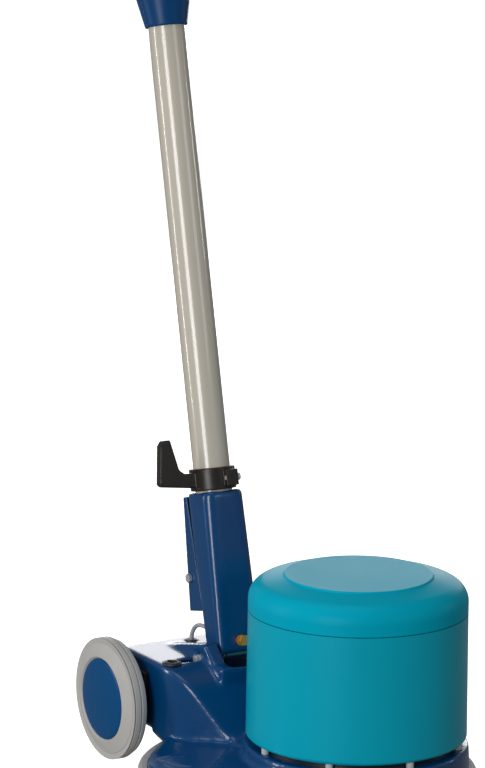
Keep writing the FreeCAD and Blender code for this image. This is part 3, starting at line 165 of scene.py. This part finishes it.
# Soft PVC: an even satin grey with a faint haze where hands and dust have dulled it.
pvc_jacket = finish("grey_pvc_jacket", "#b4b8bc", "#989ca1", 14, (0.32, 0.5), 0.8, 0.03)
LEAD_RADIUS, SMOOTH_THROUGHOUT = 3 * MM, 60
LEAD_ROUTE = [(-0.022, 0.2055, 0.1888), (-0.022, 0.2253, 0.1854), (-0.023, 0.241, 0.186),
              (-0.024, 0.253, 0.1815), (-0.025, 0.260, 0.171), (-0.025, 0.262, 0.160),
              (-0.025, 0.262, 0.146)]
route = bpy.data.curves.new("motor_lead_sheath", "CURVE")
route.dimensions = "3D"
spline = route.splines.new("NURBS")
spline.points.add(len(LEAD_ROUTE) - 1)
for point, spot in zip(spline.points, LEAD_ROUTE):
    point.co = (*spot, 1)
spline.order_u = 3
spline.use_endpoint_u = True
spline.resolution_u = 16
route.bevel_depth = LEAD_RADIUS
route.bevel_resolution = 8
route.use_fill_caps = True
lead = plain(in_scene("motor_lead_sheath", route, None), pvc_jacket)
smooth(lead.data, SMOOTH_THROUGHOUT)
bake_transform(lead)
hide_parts("motor_lead")

# --- Studio ------------------------------------------------------------------------------------
# A white acrylic table, lit from below so that it stays clean, which the pieces don't mirror. Wide
# lamps hang above, in front and low behind; slim ones stand at the left and the right.
bpy.context.scene.view_settings.view_transform = "Standard"
sweep_acrylic = finish("lit_white_acrylic", "#f2f2f2", "#ececec", 900, (0.7, 0.8), 40, 0.01,
                       Emission_Color=linear("#ffffff"), Emission_Strength=1.0)
FLOOR_WIDTH, FLOOR_DROP, ROOM_GLOW = 60, 0.5 * MM, 0.17
bpy.ops.mesh.primitive_plane_add(size=FLOOR_WIDTH, location=(0, 0, -FLOOR_DROP))
floor = bpy.context.object
floor.name = "studio_floor"
floor.data.materials.append(sweep_acrylic)
floor.visible_glossy = floor.visible_diffuse = False


def softbox(name, place, aim, size, power):
    """A rectangular lamp at place that faces aim, with its width and height in metres."""
    lamp = bpy.data.objects.new(name, bpy.data.lights.new(name, "AREA"))
    lamp.data.shape, lamp.data.size, lamp.data.size_y = "RECTANGLE", size[0], size[1]
    lamp.data.energy = power
    lamp.location = place
    lamp.visible_camera = False
    lamp.rotation_euler = (Vector(aim) - Vector(place)).to_track_quat("-Z", "Y").to_euler()
    bpy.context.scene.collection.objects.link(lamp)


softbox("top_box", (-0.4, 0.2, 3.2), (0, 0, 0.2), (2.0, 2.0), 18)
softbox("front_box", (-3.05, -1.8, 1.1), (0, 0, 0.4), (1.3, 1.9), 68)
softbox("fill_box", (1.3, -3.2, 1.8), (0, 0, 0.3), (1.2, 1.0), 8)
softbox("side_box", (-3.0, 1.7, 1.2), (0, 0.1, 0.6), (0.2, 2.3), 30)
softbox("right_box", (3.0, -0.6, 1.15), (0, 0, 0.9), (0.1, 0.4), 3)
softbox("back_box", (2.3, 3.7, 0.95), (0, 0, 0.2), (3.8, 1.1), 52)
world = bpy.data.worlds.new("studio")
bpy.context.scene.world = world
world.use_nodes = True
backdrop = world.node_tree.nodes["Background"].inputs
backdrop["Color"].default_value = linear("#ffffff")
# The pieces are lit by a dim grey room, while the room behind them shows plain white.
ray = add(world.node_tree, "ShaderNodeLightPath")
room = add(world.node_tree, "ShaderNodeMapRange", {"Value": ray.outputs["Is Camera Ray"],
                                                   "To Min": ROOM_GLOW, "To Max": 1.0})
world.node_tree.links.new(room.outputs["Result"], backdrop["Strength"])


# --- Polishing pad -----------------------------------------------------------------------------
# A 17-inch disc of non-woven polyester fibre, needled and bonded with resin, cut with a die, so
# its rim is a little ragged and stray fibres stand out of it.
def eased(corners, steps=6):
    """A closed outline of (radius, height) corners, each rounded by its third number if given."""
    spots = []
    count = len(corners)
    for index, corner in enumerate(corners):
        here = Vector(corner[:2])
        fillet = corner[2] if len(corner) > 2 else 0
        if not fillet:
            spots.append(here)
            continue
        back = (Vector(corners[index - 1][:2]) - here).normalized()
        ahead = (Vector(corners[(index + 1) % count][:2]) - here).normalized()
        half = back.angle(ahead) / 2
        middle = here + (back + ahead).normalized() * (fillet / math.sin(half))
        first = here + back * (fillet / math.tan(half)) - middle
        last = here + ahead * (fillet / math.tan(half)) - middle
        for step in range(steps + 1):
            spots.append(middle + first.slerp(last, step / steps))
    return spots


def lathe(name, corners, material, centre=(0, 0, 0), axis=(0, 0, 1), turns=128):
    """A turned piece: rounded corners in millimetres, spun about an axis through centre."""
    spots = eased(corners)
    stand = Matrix.Translation(centre) @ Vector(axis).to_track_quat("Z", "Y").to_matrix().to_4x4()
    form = bmesh.new()
    rings = []
    for turn in range(turns):
        angle = 2 * math.pi * turn / turns
        rings.append([form.verts.new(stand @ Vector((r * MM * math.cos(angle),
                                                      r * MM * math.sin(angle), h * MM)))
                      for r, h in spots])
    for turn in range(turns):
        one, two = rings[turn], rings[(turn + 1) % turns]
        for index in range(len(spots)):
            after = (index + 1) % len(spots)
            if spots[index][0] < 1e-6 and spots[after][0] < 1e-6:
                continue
            form.faces.new((one[index], two[index], two[after], one[after]))
    bmesh.ops.remove_doubles(form, verts=form.verts, dist=1e-7)
    bmesh.ops.recalc_face_normals(form, faces=form.faces)
    mesh = bpy.data.meshes.new(name)
    form.to_mesh(mesh)
    form.free()
    smooth(mesh)
    return in_scene(name, mesh, material)


# Polyester fibre: chalky off-white and matt. Its web is drawn at 0.9 mm, several times coarser
# than the real fibre, so that it shows.
pad_fibre = finish("needled_polyester", "#d9cfb8", "#b9ac92", 9, (0.85, 0.98), 0.9, 0.5,
                   stretch=(1, 1, 3), Sheen_Weight=0.4, Sheen_Roughness=0.6)
PAD_RADIUS, PAD_HEIGHT, PAD_BORE, PAD_FLOOR = 214, 21.5, 42, 14.6
RAGGED_FROM, RAGGED_DEPTH, RAGGED_GRAIN, RAGGED_PULL = 0.9, 0.7, 420, 0.3
SIDE_LOW, SIDE_HIGH, SIDE_STEPS, PAD_FACETS = 4, PAD_HEIGHT - 3, 5, 320
pad_side = [(PAD_RADIUS, SIDE_LOW + (SIDE_HIGH - SIDE_LOW) * step / SIDE_STEPS)
            for step in range(SIDE_STEPS + 1)]
pad = lathe("polishing_pad_fibre", [
    (0, 0), (60, 0), (120, 0), (180, 0), (PAD_RADIUS - 3.5, 0.4), (PAD_RADIUS - 1, 1.6), *pad_side,
    (PAD_RADIUS - 1, PAD_HEIGHT - 1.2), (PAD_RADIUS - 3, PAD_HEIGHT), (PAD_BORE, PAD_HEIGHT),
    (PAD_BORE, PAD_FLOOR), (0, PAD_FLOOR)], pad_fibre, turns=PAD_FACETS)
for vertex in pad.data.vertices:
    reach = Vector((vertex.co.x, vertex.co.y, 0))
    if reach.length > RAGGED_FROM * PAD_RADIUS * MM:
        ragged = noise.noise(vertex.co * RAGGED_GRAIN) * RAGGED_DEPTH * MM
        vertex.co += reach.normalized() * (ragged - RAGGED_PULL * MM)
seat(pad, "brush", "pad_fibre", "polishing_pad")


def grown(name, base, material, build, **sizes):
    """A plain mesh that a Geometry Nodes tree grows from base's mesh, with named size inputs."""
    tree = bpy.data.node_groups.new(name, "GeometryNodeTree")
    tree.interface.new_socket("Geometry", in_out="INPUT", socket_type="NodeSocketGeometry")
    keys = {}
    for label in sizes:
        socket = tree.interface.new_socket(label, in_out="INPUT", socket_type="NodeSocketFloat")
        keys[label] = socket.identifier
    tree.interface.new_socket("Geometry", in_out="OUTPUT", socket_type="NodeSocketGeometry")
    source = tree.nodes.new("NodeGroupInput")
    whole = add(tree, "GeometryNodeRealizeInstances", {"Geometry": build(tree, source.outputs)})
    coated = add(tree, "GeometryNodeSetMaterial",
                 {"Geometry": whole.outputs["Geometry"], "Material": material})
    add(tree, "NodeGroupOutput", {"Geometry": coated.outputs["Geometry"]})
    piece = bpy.data.objects.new(name, base)
    bpy.context.scene.collection.objects.link(piece)
    modifier = piece.modifiers.new(name, "NODES")
    modifier.node_group = tree
    for label, value in sizes.items():
        modifier[keys[label]] = value
    return plain(piece, material)


POINT_SEED, TURN_SEED, FIBRE_SWEEP, ANY_TURN = 7, 11, 2.2, (6.28, 6.28, 6.28)
STRAYS_FROM = 0.985


def stray_fibres(tree, sizes):
    """Short bent fibres, scattered over the rim above the floor and turned every way."""
    place = add(tree, "GeometryNodeInputPosition").outputs["Position"]
    flat = add(tree, "ShaderNodeVectorMath", {0: place, 1: (1, 1, 0)}, operation="MULTIPLY")
    reach = add(tree, "ShaderNodeVectorMath", {0: flat.outputs[0]}, operation="LENGTH")
    outer = add(tree, "FunctionNodeCompare", {0: reach.outputs["Value"], 1: sizes["Inner Radius"]},
                operation="GREATER_THAN")
    level = add(tree, "ShaderNodeSeparateXYZ", {"Vector": place}).outputs["Z"]
    raised = add(tree, "FunctionNodeCompare", {0: level, 1: sizes["Lowest"]},
                 operation="GREATER_THAN")
    rim = add(tree, "FunctionNodeBooleanMath", {0: outer.outputs["Result"],
                                                1: raised.outputs["Result"]}, operation="AND")
    scatter = add(tree, "GeometryNodeDistributePointsOnFaces",
                  {"Mesh": sizes["Geometry"], "Selection": rim.outputs["Boolean"],
                   "Density": sizes["Density"], "Seed": POINT_SEED})
    bend = add(tree, "GeometryNodeCurveArc", {"Resolution": 4, "Radius": sizes["Fibre Bend"],
                                              "Sweep Angle": FIBRE_SWEEP})
    section = add(tree, "GeometryNodeCurvePrimitiveCircle",
                  {"Resolution": 3, "Radius": sizes["Fibre Radius"]})
    fibre = add(tree, "GeometryNodeCurveToMesh", {"Curve": bend.outputs["Curve"],
                                                  "Profile Curve": section.outputs["Curve"]})
    turn = add(tree, "FunctionNodeRandomValue", {"Min": (0, 0, 0), "Max": ANY_TURN,
                                                 "Seed": TURN_SEED}, data_type="FLOAT_VECTOR")
    spread = add(tree, "GeometryNodeInstanceOnPoints",
                 {"Points": scatter.outputs["Points"], "Instance": fibre.outputs["Mesh"],
                  "Rotation": turn.outputs["Value"]})
    return spread.outputs["Instances"]


fibres = grown("polishing_pad_strays", pad.data.copy(), pad_fibre, stray_fibres,
               **{"Inner Radius": STRAYS_FROM * PAD_RADIUS * MM, "Lowest": 3 * MM,
                  "Density": 52000.0, "Fibre Bend": 1.0 * MM, "Fibre Radius": 0.09 * MM})
seat(fibres, "brush", "pad_fibre")


# --- Pad driver, centre plate and drive hub ----------------------------------------------------
# The driver and the screwed centre plate are moulded in glass-filled nylon; the hub is turned
# from cast aluminium and drives the plate with three lugs.
def coat(material, *nodes):
    """Gives CAD nodes their material."""
    for node in nodes:
        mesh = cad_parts[node].data
        mesh.materials.clear()
        mesh.materials.append(material)


# Glass-filled nylon: brown-black with a fine spark-eroded grain and soft broad highlights.
nylon = finish("black_glass_nylon", "#2b2521", "#1f1a18", 22, (0.3, 0.4), 1.0, 0.03,
               Specular_IOR_Level=0.4)
# Turned aluminium: light grey with faint tool rings.
aluminium = finish("machined_aluminium", "#c4c6c8", "#a9abad", 30, (0.3, 0.48), 1.4, 0.02,
                   stretch=(1, 1, 9), Metallic=1.0)
coat(nylon, "pad_driver", "pad_lock")
coat(aluminium, "drive_hub")

# --- Gears, spindle and gear case --------------------------------------------------------------
# A case-hardened pinion on the motor's shaft drives a wide gear on the output spindle. They run
# in an oil-tight die-cast case that hangs under the deck's collar plate.
# Ground steel: cool grey with fine lengthwise grinding lines.
steel = finish("ground_steel", "#a4a6a8", "#85878a", 18, (0.22, 0.4), 0.9, 0.015,
               stretch=(1, 1, 6), Metallic=1.0)
# Die-cast aluminium: duller and slightly pitted.
die_cast = finish("die_cast_aluminium", "#aaacae", "#8d8f92", 26, (0.42, 0.6), 1.6, 0.08,
                  Metallic=1.0)
coat(steel, "drive_gear", "drive_pinion", "output_spindle", "spindle_bearings")
coat(die_cast, "gear_case")


# --- Deck --------------------------------------------------------------------------------------
# One sand casting in aluminium: disc, motor collar, rear housing and handle cheeks. Its corners
# are fettled round, then it is sprayed in deep blue enamel.
FACING_DOWN = -0.3


def softened(name, material, voxel_mm, passes, *nodes, spare=1.0):
    """The nodes' closed forms with rounded corners: remeshed finely, then relaxed.

    spare below 1 thins the faces to that share, and takes them from the undersides first.
    """
    form = bmesh.new()
    for node in nodes:
        form.from_mesh(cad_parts[node].data)
    bmesh.ops.remove_doubles(form, verts=form.verts, dist=1e-6)
    mesh = bpy.data.meshes.new(name)
    form.to_mesh(mesh)
    form.free()
    piece = in_scene(name, mesh, None)
    skin = piece.modifiers.new("skin", "REMESH")
    skin.mode, skin.voxel_size = "VOXEL", voxel_mm * MM
    skin.use_smooth_shade = True
    relax = piece.modifiers.new("relax", "SMOOTH")
    relax.factor, relax.iterations = 0.5, passes
    piece = plain(piece, material)
    if spare < 1:
        hidden = piece.vertex_groups.new(name="hidden")
        facing_down = [v.index for v in piece.data.vertices if v.normal.z < FACING_DOWN]
        hidden.add(facing_down, 1.0, "REPLACE")
        thin = piece.modifiers.new("thin", "DECIMATE")
        thin.ratio, thin.vertex_group = spare, "hidden"
        piece = plain(piece, material)
        piece.vertex_groups.clear()
    smooth(piece.data, SMOOTH_THROUGHOUT)
    return piece


# Sprayed enamel: a deep, wet blue with a faint orange peel and a clear, sharp reflection.
blue_enamel = finish("deep_blue_enamel", "#00457a", "#003c6d", 90, (0.24, 0.29), 3.5, 0.012,
                     Coat_Weight=0.3, Coat_Roughness=0.06, Specular_IOR_Level=0.35)
deck = softened("deck_casting", blue_enamel, 2.5, 18, "deck", spare=0.6)
seat(deck, "machine", "blue_enamel", "deck")

# --- Bumper ------------------------------------------------------------------------------------
# A soft PVC strip, extruded, then stretched round the deck's skirt so that its own pull holds it.
# It keeps the casting off walls and furniture.
# Soft PVC: pale grey, matt, scuffed in streaks along the strip.
soft_pvc = finish("grey_soft_pvc", "#b9b9b7", "#9a9a99", 16, (0.5, 0.68), 1.5, 0.05,
                  stretch=(1, 1, 4))
coat(soft_pvc, "bumper")

# --- Motor -------------------------------------------------------------------------------------
# An induction motor that stands beside the brush axis: a drawn shell between two die-cast
# shields, a laminated core with enamelled windings, and a nylon fan on the shaft's top.
# Enamelled copper: warm red-brown strands, drawn as 2 mm bundles.
copper = finish("enamelled_copper", "#a05a2c", "#6e3514", 5, (0.3, 0.42), 2.0, 0.6,
                stretch=(1, 1, 0.25), Metallic=0.9)
# Core plates: thin steel sheets, drawn about 2 mm apart.
core_plates = finish("core_plates", "#85878a", "#63656a", 8, (0.4, 0.55), 1.0, 0.3,
                     stretch=(0.1, 0.1, 1), Metallic=1.0)
# Black enamel: a thin dip coat with a soft shine. Its black is also painted shade, which
# keeps the vent gap under the drum dark.
black_enamel_gap_shade = finish("black_dip_enamel_and_gap_shade", "#1c1e20", "#121416", 30, (0.3, 0.45), 2.5, 0.03)
# Capacitor cans: pale grey polypropylene, smooth, with a soft shine.
pale_plastic = finish("pale_grey_polypropylene", "#c9cbca", "#b4b7b7", 20, (0.34, 0.46), 1.5, 0.02)
coat(die_cast, "motor_housing", "motor_upper_shield")
# The lower shield's black stands partly for the shade in the vent gap under the drum.
coat(black_enamel_gap_shade, "motor_lower_shield")
coat(steel, "rotor", "motor_bearings")
coat(core_plates, "stator_core")
coat(copper, "stator_windings")
coat(pale_plastic, "capacitors")
coat(nylon, "cooling_fan")

# --- Motor cover and lid -----------------------------------------------------------------------
# A drawn steel drum on eight short posts, so that air can leave below it, closed by a domed lid
# that drops inside its rim. Both are stove-enamelled in teal, the lid a shade duller.
teal_enamel = finish("teal_stove_enamel", "#00a9c2", "#00a2bb", 120, (0.24, 0.28), 3.2, 0.012,
                     Specular_IOR_Level=0.2)
lid_enamel = finish("teal_lid_enamel", "#00aac6", "#00a3bf", 90, (0.36, 0.42), 1.1, 0.02,
                    Specular_IOR_Level=0.04)
coat(teal_enamel, "motor_cover")
coat(lid_enamel, "cover_lid")
coat(pale_plastic, "cover_spacers")

# --- Transport wheels --------------------------------------------------------------------------
# Two solid non-marking rubber tyres, moulded with two grooves, on nylon rims. Blue caps snap into
# the hubs and hide the axle's clips.
# Non-marking rubber: warm light grey, matt, with the mould's fine grain.
tyre_rubber = finish("grey_non_marking_rubber", "#c0bebb", "#b6b3af", 24, (0.5, 0.62), 1.2, 0.03)
# Polypropylene: an even mid blue with a soft satin shine.
cap_plastic = finish("blue_polypropylene", "#004e84", "#00487b", 40, (0.28, 0.34), 1.4, 0.01,
                     Specular_IOR_Level=0.2)
TYRE_RADIUS, TYRE_SEAT, RIM_WIDTH, FACE_RISE = 82, 62, 26, 4.5
BEAD_WIDTH, BACK_SHOULDER, FRONT_SHOULDER, WHEEL_FACETS = 6, 4, 8.2, 160
LIP_WIDTH, LIP_ROUND, MOUTH_DEPTH = 2.5, 1.5, 1.5
GROOVES, GROOVE_HALF, GROOVE_DEPTH, GROOVE_LIP, GROOVE_ROOT = (12.4, 22.0), 1.2, 2.0, 0.7, 0.5
CAP_RADIUS, CAP_GAP, CAP_SIDE, CAP_EDGE, CAP_RISE, CAP_CROWN = 54.5, 0.4, 2.2, 0.8, 6.9, 4
DOME_STEPS, CAP_FACETS = 14, 128
for name, side in (("left", -1), ("right", 1)):
    low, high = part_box(f"wheel_rim_{name}")
    hub = ((low.x if side > 0 else high.x), (low.y + high.y) / 2, (low.z + high.z) / 2)
    outward = (side, 0, 0)
    tread = []
    for middle in GROOVES:
        tread += [(TYRE_RADIUS, middle - GROOVE_HALF, GROOVE_LIP),
                  (TYRE_RADIUS - GROOVE_DEPTH, middle, GROOVE_ROOT),
                  (TYRE_RADIUS, middle + GROOVE_HALF, GROOVE_LIP)]
    face, bore = RIM_WIDTH + FACE_RISE, CAP_RADIUS + CAP_GAP
    tyre = lathe(f"tyre_{name}_rubber", [
        (TYRE_SEAT, 1), (TYRE_SEAT + BEAD_WIDTH, 0),
        (TYRE_RADIUS, 0, BACK_SHOULDER), *tread, (TYRE_RADIUS, face, FRONT_SHOULDER),
        (CAP_RADIUS + LIP_WIDTH, face, LIP_ROUND), (bore, RIM_WIDTH + MOUTH_DEPTH),
        (bore, RIM_WIDTH), (TYRE_SEAT, RIM_WIDTH)], tyre_rubber, hub, outward, WHEEL_FACETS)
    seat(tyre, f"wheel_{name}", "grey_tyre", f"tyre_{name}")
    dome = [((CAP_RADIUS - CAP_EDGE) * step / DOME_STEPS,
             RIM_WIDTH + CAP_RISE - CAP_CROWN * (step / DOME_STEPS) ** 2)
            for step in range(DOME_STEPS, -1, -1)]
    cap = lathe(f"hub_cap_{name}_dome", [
        (0, RIM_WIDTH), (CAP_RADIUS, RIM_WIDTH), (CAP_RADIUS, RIM_WIDTH + CAP_SIDE), *dome],
        cap_plastic, hub, outward, CAP_FACETS)
    seat(cap, f"wheel_{name}", "blue_plastic", f"hub_cap_{name}")

# --- Axle --------------------------------------------------------------------------------------
# A turned steel bar through the rear housing, zinc-plated, that two nylon blocks carry. Spring
# clips outside the rims keep the wheels on it.
# Bright zinc: bluish silver with a soft bloom.
zinc = finish("bright_zinc_plate", "#e6e8ea", "#ced1d4", 10, (0.26, 0.4), 1.0, 0.02, Metallic=0.65)
coat(zinc, "axle")
coat(nylon, "wheel_rim_left", "wheel_rim_right")
coat(steel, "axle_clips")
# The blocks' black nylon is partly painted shade: it darkens the gap between each wheel and the
# housing's wall.
blocks = softened("axle_blocks_moulded_dark_as_shade", nylon, 1.3, 9, "axle_blocks")
seat(blocks, "machine", "black_plastic", "axle_blocks")

# --- Handle bracket and its rear cover ---------------------------------------------------------
# A tapered hollow casting that swings between the deck's cheeks and holds the tube, with a
# pressed box bolted on its back. Both are sprayed with the deck's enamel.
bracket = softened("handle_bracket_casting", blue_enamel, 1.5, 110, "handle_bracket")
seat(bracket, "handle", "blue_enamel", "handle_bracket")
rear_cover = softened("bracket_rear_cover_pressing", blue_enamel, 1.15, 8, "bracket_rear_cover")
seat(rear_cover, "handle", "blue_enamel", "bracket_rear_cover")

# --- Pivot, adjuster bolt, grommets and tilt lock ----------------------------------------------
# The bracket turns on a zinc-plated bolt in nylon bushes. A yellow-zinc adjuster bolt and a rubber
# shoe on a sprung rod hold its angle. Rubber rings line the two holes of the rear platform.
# Yellow zinc: gold with a drift to green and rose.
yellow_zinc = finish("yellow_zinc_plate", "#f5b84f", "#e0a245", 4, (0.34, 0.46), 0.8, 0.02,
                     Metallic=0.6)
# Black rubber: deep grey, matt, with a dusty bloom.
black_rubber = finish("black_moulded_rubber", "#2a2a2b", "#1b1b1c", 7, (0.42, 0.6), 0.9, 0.03)
coat(zinc, "pivot_bolt", "rear_cover_bolt")
coat(nylon, "pivot_bushes")
coat(yellow_zinc, "adjuster_bolt")
coat(black_rubber, "platform_grommets", "lead_grommet")
coat(steel, "tilt_drum", "lock_rod", "rod_collar")
shoe = softened("brake_shoe_moulded", black_rubber, 0.6, 5, "brake_shoe")
seat(shoe, "tilt_lock", "black_rubber", "brake_shoe")

# The lock's compression spring, coiled from round wire: the shoe squeezes it as the rod lifts.
HANDLE_TILT = math.radians(12.6)
along_tube = Vector((0, math.sin(HANDLE_TILT), math.cos(HANDLE_TILT)))
rearward = Vector((0, math.cos(HANDLE_TILT), -math.sin(HANDLE_TILT)))
COIL_RADIUS, COIL_WIRE, COIL_LENGTH = 6.5 * MM, 0.8 * MM, 42 * MM
COIL_TURNS, COIL_STEPS, WIRE_FACETS = 6, 24, 3
low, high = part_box("lock_spring")
foot = (low + high) / 2 - along_tube * COIL_LENGTH / 2
coil = bpy.data.curves.new("lock_spring_wire", "CURVE")
coil.dimensions = "3D"
strand = coil.splines.new("POLY")
strand.points.add(COIL_TURNS * COIL_STEPS)
for index, point in enumerate(strand.points):
    angle = 2 * math.pi * index / COIL_STEPS
    level = COIL_LENGTH * index / (COIL_TURNS * COIL_STEPS)
    spot = foot + along_tube * level
    spot += COIL_RADIUS * (math.cos(angle) * Vector((-1, 0, 0)) + math.sin(angle) * rearward)
    point.co = (*spot, 1)
coil.bevel_depth = COIL_WIRE
coil.bevel_resolution = WIRE_FACETS
coil.use_fill_caps = True
spring = plain(in_scene("lock_spring_wire", coil, None), steel)
smooth(spring.data, SMOOTH_THROUGHOUT)
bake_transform(spring)
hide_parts("lock_spring")

# --- Handle tube -------------------------------------------------------------------------------
# A 50 mm steel tube with a seam weld inside. It stands in the bracket's socket and carries the
# head's two shells, and is powder-coated in warm light grey.
# Powder coat: an even, fine orange peel with a bright, slightly soft highlight.
grey_powder = finish("warm_grey_powder_coat", "#cbc4b6", "#c5beb0", 160, (0.2, 0.24), 1.6, 0.012,
                     Coat_Weight=0.5, Coat_Roughness=0.05)
coat(grey_powder, "handle_tube")

# --- Hook clamp --------------------------------------------------------------------------------
# A moulded nylon ring, split at its lug and drawn tight by one screw, whose arm carries the mains
# lead's lower hook.
clamp = softened("hook_clamp_moulded", nylon, 0.9, 9, "hook_clamp")
seat(clamp, "handle", "black_plastic", "hook_clamp")
coat(zinc, "clamp_screw")

# --- Head --------------------------------------------------------------------------------------
# Two moulded ABS shells that close round the tube's top and the bars. They meet on the tube's
# plane and are held by four screws from behind.
# Moulded ABS: the deck's blue in a duller, finely grained plastic.
blue_abs = finish("blue_moulded_abs", "#00457b", "#003f71", 50, (0.28, 0.36), 1.1, 0.02,
                  Specular_IOR_Level=0.25)
for half in ("front", "rear"):
    shell = softened(f"head_{half}_shell", blue_abs, 1.3, 5, f"head_{half}")
    seat(shell, "handle", "blue_plastic", f"head_{half}")


PAN_FLATTENED = 0.45


def case_screws(tree, sizes):
    """Pan-head screws at four corners, on a plane that is set up across the head's back."""
    corners = add(tree, "GeometryNodeMeshGrid", {"Size X": sizes["Across"], "Size Y": sizes["Up"],
                                                 "Vertices X": 2, "Vertices Y": 2})
    dome = add(tree, "GeometryNodeMeshUVSphere", {"Segments": 16, "Rings": 10,
                                                  "Radius": sizes["Head Radius"]})
    flat = add(tree, "GeometryNodeTransform", {"Geometry": dome.outputs["Mesh"],
                                               "Scale": (1, 1, PAN_FLATTENED)})
    spread = add(tree, "GeometryNodeInstanceOnPoints",
                 {"Points": corners.outputs["Mesh"], "Instance": flat.outputs["Geometry"]})
    return spread.outputs["Instances"]


pivot = Vector((0, 0.184, 0.1567))
HEAD_BACK, SCREW_LEVEL, SCREW_SPREAD, SCREW_RISE, SCREW_RADIUS = 72, 944, 122, 46, 3.6
screws = grown("head_case_screws", bpy.data.meshes.new("screw_seat"), zinc, case_screws,
               **{"Across": SCREW_SPREAD * MM, "Up": SCREW_RISE * MM,
                  "Head Radius": SCREW_RADIUS * MM})
middle = pivot + rearward * (HEAD_BACK * MM) + along_tube * (SCREW_LEVEL * MM)
screws.data.transform(Matrix.Translation(middle)
                      @ Matrix((Vector((-1, 0, 0)), along_tube, rearward)).transposed().to_4x4())
smooth(screws.data, SMOOTH_THROUGHOUT)
seat(screws, "handle", "zinc")

# --- Bars and grips ----------------------------------------------------------------------------
# Bent steel bars in the tube's powder coat, with moulded rubber sleeves pushed on them. The
# sleeves have an end flange and rings that keep a gloved hand from slipping.
coat(grey_powder, "grip_bars")
GRIP_RADIUS, BAR_RADIUS, GRIP_LENGTH, FLANGE_WIDTH, GRIP_FACETS = 16, 11, 88, 5, 64
GRIP_LEVEL, GRIP_BACK, GRIP_START = 974, 40, 78
FLANGE_ROUNDS, NECK_LENGTH, NECK_ROUND, TIP_ROUND = (1.4, 1.2), 1.5, 0.8, 3
RING_COUNT, RING_PITCH, RING_FIRST, RING_RISE, RING_ROOT, RING_CREST = 14, 5.2, 11, 1, 0.5, 0.4
CREST_FROM, CREST_TO, RING_END = 1, 1.8, 2.8
for name, side in (("left", -1), ("right", 1)):
    start = pivot + rearward * GRIP_BACK * MM + along_tube * GRIP_LEVEL * MM
    start.x = side * GRIP_START * MM
    outward = (side, 0, 0)
    sleeve_radius = GRIP_RADIUS - RING_RISE
    rings = []
    for ring in range(RING_COUNT):
        level = RING_FIRST + RING_PITCH * ring
        rings += [(sleeve_radius, level, RING_ROOT),
                  (GRIP_RADIUS, level + CREST_FROM, RING_CREST),
                  (GRIP_RADIUS, level + CREST_TO, RING_CREST),
                  (sleeve_radius, level + RING_END, RING_ROOT)]
    sleeve = lathe(f"hand_grip_{name}_sleeve", [
        (BAR_RADIUS, 0), (GRIP_RADIUS, 0, FLANGE_ROUNDS[0]),
        (GRIP_RADIUS, FLANGE_WIDTH, FLANGE_ROUNDS[1]),
        (sleeve_radius, FLANGE_WIDTH + NECK_LENGTH, NECK_ROUND), *rings,
        (sleeve_radius, GRIP_LENGTH, TIP_ROUND), (BAR_RADIUS, GRIP_LENGTH)],
        black_rubber, start, outward, GRIP_FACETS)
    seat(sleeve, "handle", "black_rubber", "hand_grips")

# --- Controls ----------------------------------------------------------------------------------
# Two nylon switch levers under the grips, a yellow lock button, the switch inside the head, the
# pedal bar that lifts the tilt lock's rod, and the rubber gland for the mains lead.
# Acetal: a warm signal yellow, smooth and a little waxy.
yellow_plastic = finish("yellow_acetal", "#e8aa1c", "#dc9c12", 12, (0.3, 0.4), 1.0, 0.015,
                        Subsurface_Weight=0.05)
for name in ("left", "right"):
    lever = softened(f"switch_lever_{name}_moulded", nylon, 0.8, 9, f"switch_lever_{name}")
    seat(lever, f"switch_{name}", "black_plastic", f"switch_lever_{name}")
button = softened("lock_button_cap", yellow_plastic, 0.6, 7, "lock_button")
seat(button, "lock_button", "yellow_plastic", "lock_button")
pedal = softened("release_lever_moulded", nylon, 0.8, 5, "release_lever")
seat(pedal, "release_lever", "black_plastic", "release_lever")
switch = softened("switch_block_moulded", nylon, 0.9, 8, "switch_block")
seat(switch, "handle", "black_plastic", "switch_block")
coat(zinc, "lever_brackets")
coat(black_rubber, "mains_gland")
